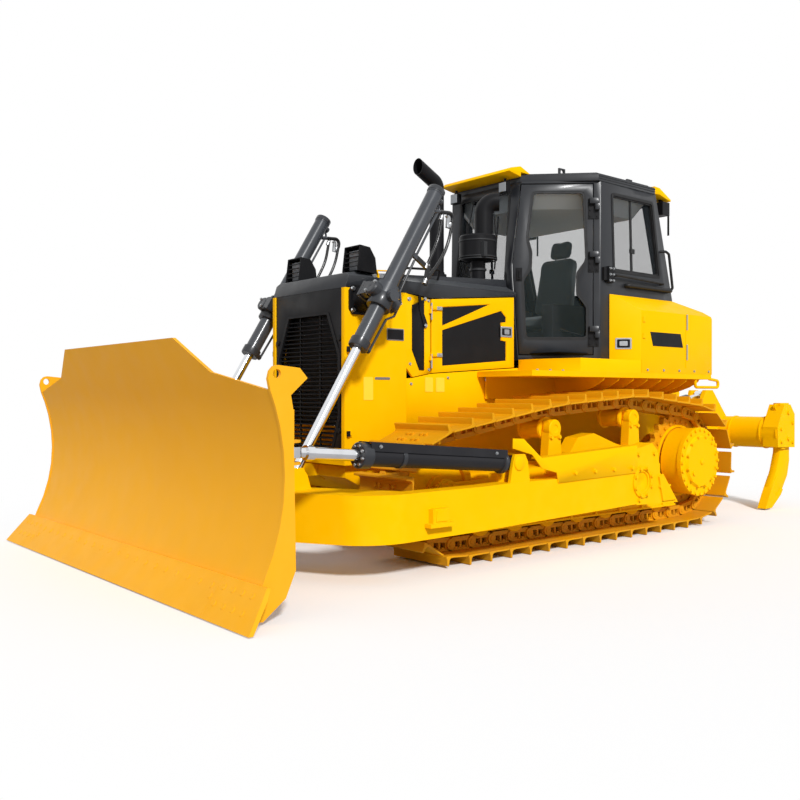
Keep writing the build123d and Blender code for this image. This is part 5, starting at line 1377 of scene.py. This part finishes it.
def tank_dressing():
    s, bright, dark, rows = Shape(), Shape(), Shape(), []
    # the filler on top
    s.turn((-2880, 760, 0), (0, 0, 1), [(0, 1940), (62, 1940), (62, 1990), (55, 1997), (0, 1997)], 28)
    for k in (-1, 1):
        # upright seam, small pads and the lower row of bolts
        s.box(-2668, -2662, *across(k, TANK_SIDE - 1, TANK_SIDE + 4), 1400, 1876)
        for z in (1640, 1780):
            s.box(-2046, -2010, *across(k, TANK_SIDE - 2, TANK_SIDE + 8), z, z + 46)
        rows += facing(k, TANK_SIDE, [(x, 1372) for x in (-3040, -2800, -2560, -2320, -2080)])
        # hinge strips of the rear panel and the blank badge
        for z in (1470, 1740):
            bright.box(-2692, -2674, *across(k, TANK_SIDE - 1, TANK_SIDE + 6), z, z + 140)
        dark.slab([(-2620, 1580), (-2160, 1580), (-2120, 1700), (-2580, 1700)], k, TANK_SIDE, TANK_SIDE + 3)
        # the latch sits on the slanting front face
        for shape, m, d0, d1 in ((bright, 0, 0.5, 6), (dark, 14, 6, 7), (bright, 34, 7, 12)):
            def face(u, z, d, k=k):
                # u along the slanting face, d outward
                return at(-1811 - 0.6744 * u + 0.7384 * d, k * (874 + 0.7384 * u + 0.6744 * d), z)
            u0, u1, z0, z1 = 50 + m, 186 - m, 1548 + m * 0.8, 1642 - m * 0.8
            corners = rounded([(u0, z0), (u1, z0), (u1, z1), (u0, z1)], 8, 3)
            shape.prism([face(u, z, d0) for u, z in corners], face(0, 0, d1) - face(0, 0, d0))
    s.done("tank_fittings", "tractor", YELLOW, 1.5)
    bright.done("tank_latches", "tractor", STEEL, 0.6)
    dark.done("tank_badges", "tractor", BLACK, 0)
    bolts("tank_bolts", "tractor", rows, 16, 8, STEEL)


def deck_dressing():
    d, deck_bolts = Shape(), []
    for k in (-1, 1):
        # folded edge
        d.box(-600, -3080, *across(k, TANK_SIDE, TANK_SIDE + 6), 1300, 1345)
        # curved ribs under the deck
        curve = [(540, 1302), (1062, 1302), (1050, 1276), (960, 1226), (840, 1186), (700, 1158), (540, 1144)]
        for x in range(-2900, -1300, 200):
            d.front([(k * y, z) for y, z in curve], x - 6, x + 6)
        # bent rail hanging from the deck's rear end
        rail = ((-2850, 1304), (-2850, 1228), (-3236, 1228), (-3236, 1290), (-3080, 1306))
        d.tube(bend([(x, k * 1052, z) for x, z in rail], 30), 14, 10)
        deck_bolts += [((x, k * 1040, 1346), (0, 0, 1)) for x in (-700, -850, -1000)]
    d.done("deck_edges", "tractor", YELLOW, 1.5)
    bolts("deck_bolts", "tractor", deck_bolts, 18, 8, STEEL)


tank_dressing()
deck_dressing()


BEAM, SHANKS = (-4440, 770), (-1020, 0, 1020)      # the ripper's beam and its shanks' stations


def ripper_dressing():
    s, st, tips = Shape(), [], Shape()
    X, Z = BEAM
    # end rings and caps of the beam, and the rings beside its shank boxes
    for k in (-1, 1):
        s.ring((X, 0, Z), (0, k, 0), 60, 166, 1072, 1086, 48)
        s.disc((X, 0, Z), (0, k, 0), 60, 1060, 1089, 32)
        for y in (560, 900):
            s.ring((X, k * y, Z), (0, 1, 0), 158, 168, -8, 8, 48)
    for y in SHANKS:
        # the shank's two pins and the bolts of its box
        for dz in (210, -60):
            s.tube([(X - 60, y - 96, Z + dz), (X - 60, y + 96, Z + dz)], 22, 16)
        for k in (-1, 1):
            box = ((90, 40), (-150, 100), (-150, -100), (80, -90))
            st += [((X + dx, y + k * 80, Z + dz), (0, k, 0)) for dx, dz in box]
    for y in (SHANKS[0], SHANKS[2]):
        # lifting ring on the beam's end
        angles = [i * math.pi / 9 for i in range(18)]
        rings = [[at(X + 40 + r * math.cos(q), y + dy, Z + 262 + r * math.sin(q)) for q in angles]
                 for r, dy in ((34, 12), (34, -12), (17, -12), (17, 12))]
        s.skin(rings, closed=True)
    s.done("ripper_fittings", "ripper", YELLOW, 2.0)
    bolts("ripper_bolts", "ripper", st, 28, 14, YELLOW)
    # the tooth's cap from its heel round the point to its upper end
    tooth = ((-24, 184), (20, 132), (200, 14), (330, 12), (242, 156), (120, 330), (96, 340), (190, 170),
             (120, 120), (10, 210))
    for y in SHANKS:
        tips.side([(X + dx, z) for dx, z in tooth], y - 46, y + 46)
    tips.done("ripper_tips", "ripper", YELLOW, 3.0)


ripper_dressing()

# ---------------------------------------------------------------- the floor --


def join_all(tree, links):
    for out, into in links:
        tree.links.new(out, into)


def pale_floor():
    # a lit floor round the machine that turns plain white further out, as the lens sees it
    bpy.ops.mesh.primitive_plane_add(size=80, location=(0, 0, -0.002))
    floor = bpy.context.object
    floor.name = "floor"
    m = bpy.data.materials.new("pale_floor")
    m.use_nodes = True
    t = m.node_tree
    skin = t.nodes["Principled BSDF"]
    skin.inputs["Roughness"].default_value = 0.9
    skin.inputs["Specular IOR Level"].default_value = 0.1
    pale = add_node(t, "ShaderNodeMix", {6: (0.55, 0.55, 0.56, 1), 7: (1.0, 1.0, 1.0, 1)}, data_type="RGBA")
    glow = add_node(t, "ShaderNodeEmission", {"Strength": 1.0})
    place = add_node(t, "ShaderNodeTexCoord")
    reach = add_node(t, "ShaderNodeVectorMath", operation="LENGTH")
    far = add_node(t, "ShaderNodeMapRange", {1: 3.2, 2: 5.5})
    ray = add_node(t, "ShaderNodeLightPath")
    both = add_node(t, "ShaderNodeMath", operation="MULTIPLY")
    mix = add_node(t, "ShaderNodeMixShader")
    seen = ray.outputs["Is Camera Ray"]
    join_all(t, ((seen, pale.inputs[0]), (pale.outputs[2], skin.inputs["Base Color"]),
                 (place.outputs["Object"], reach.inputs[0]), (reach.outputs["Value"], far.inputs[0]),
                 (far.outputs[0], both.inputs[0]), (seen, both.inputs[1]), (both.outputs[0], mix.inputs[0]),
                 (skin.outputs[0], mix.inputs[1]), (glow.outputs[0], mix.inputs[2]),
                 (mix.outputs[0], t.nodes["Material Output"].inputs["Surface"])))
    floor.data.materials.append(m)


def studio_light():
    # a dim dome for the light, plain white where it is seen, mirrored or looked through
    world = bpy.data.worlds.new("studio")
    bpy.context.scene.world = world
    world.use_nodes = True
    t = world.node_tree
    dome = t.nodes["Background"]
    dome.inputs["Color"].default_value = (0.97, 0.98, 1.0, 1)
    dome.inputs["Strength"].default_value = 0.46
    seen = add_node(t, "ShaderNodeBackground", {"Color": (1, 1, 1, 1), "Strength": 1.0})
    ray = add_node(t, "ShaderNodeLightPath")
    either, any_of = (add_node(t, "ShaderNodeMath", operation="MAXIMUM") for i in range(2))
    mix = add_node(t, "ShaderNodeMixShader")
    rays = ray.outputs
    join_all(t, ((rays["Is Camera Ray"], either.inputs[0]), (rays["Is Glossy Ray"], either.inputs[1]),
                 (either.outputs[0], any_of.inputs[0]), (rays["Is Transmission Ray"], any_of.inputs[1]),
                 (any_of.outputs[0], mix.inputs[0]), (dome.outputs[0], mix.inputs[1]),
                 (seen.outputs[0], mix.inputs[2]),
                 (mix.outputs[0], t.nodes["World Output"].inputs["Surface"])))
    sun = bpy.data.lights.new("sun", "SUN")
    sun.energy, sun.angle = 3.0, math.radians(7)
    show("sun", sun).rotation_euler = Vector((-0.35, -0.80, -0.60)).to_track_quat("-Z", "Y").to_euler()
    bpy.context.scene.view_settings.view_transform = "Standard"


pale_floor()
studio_light()
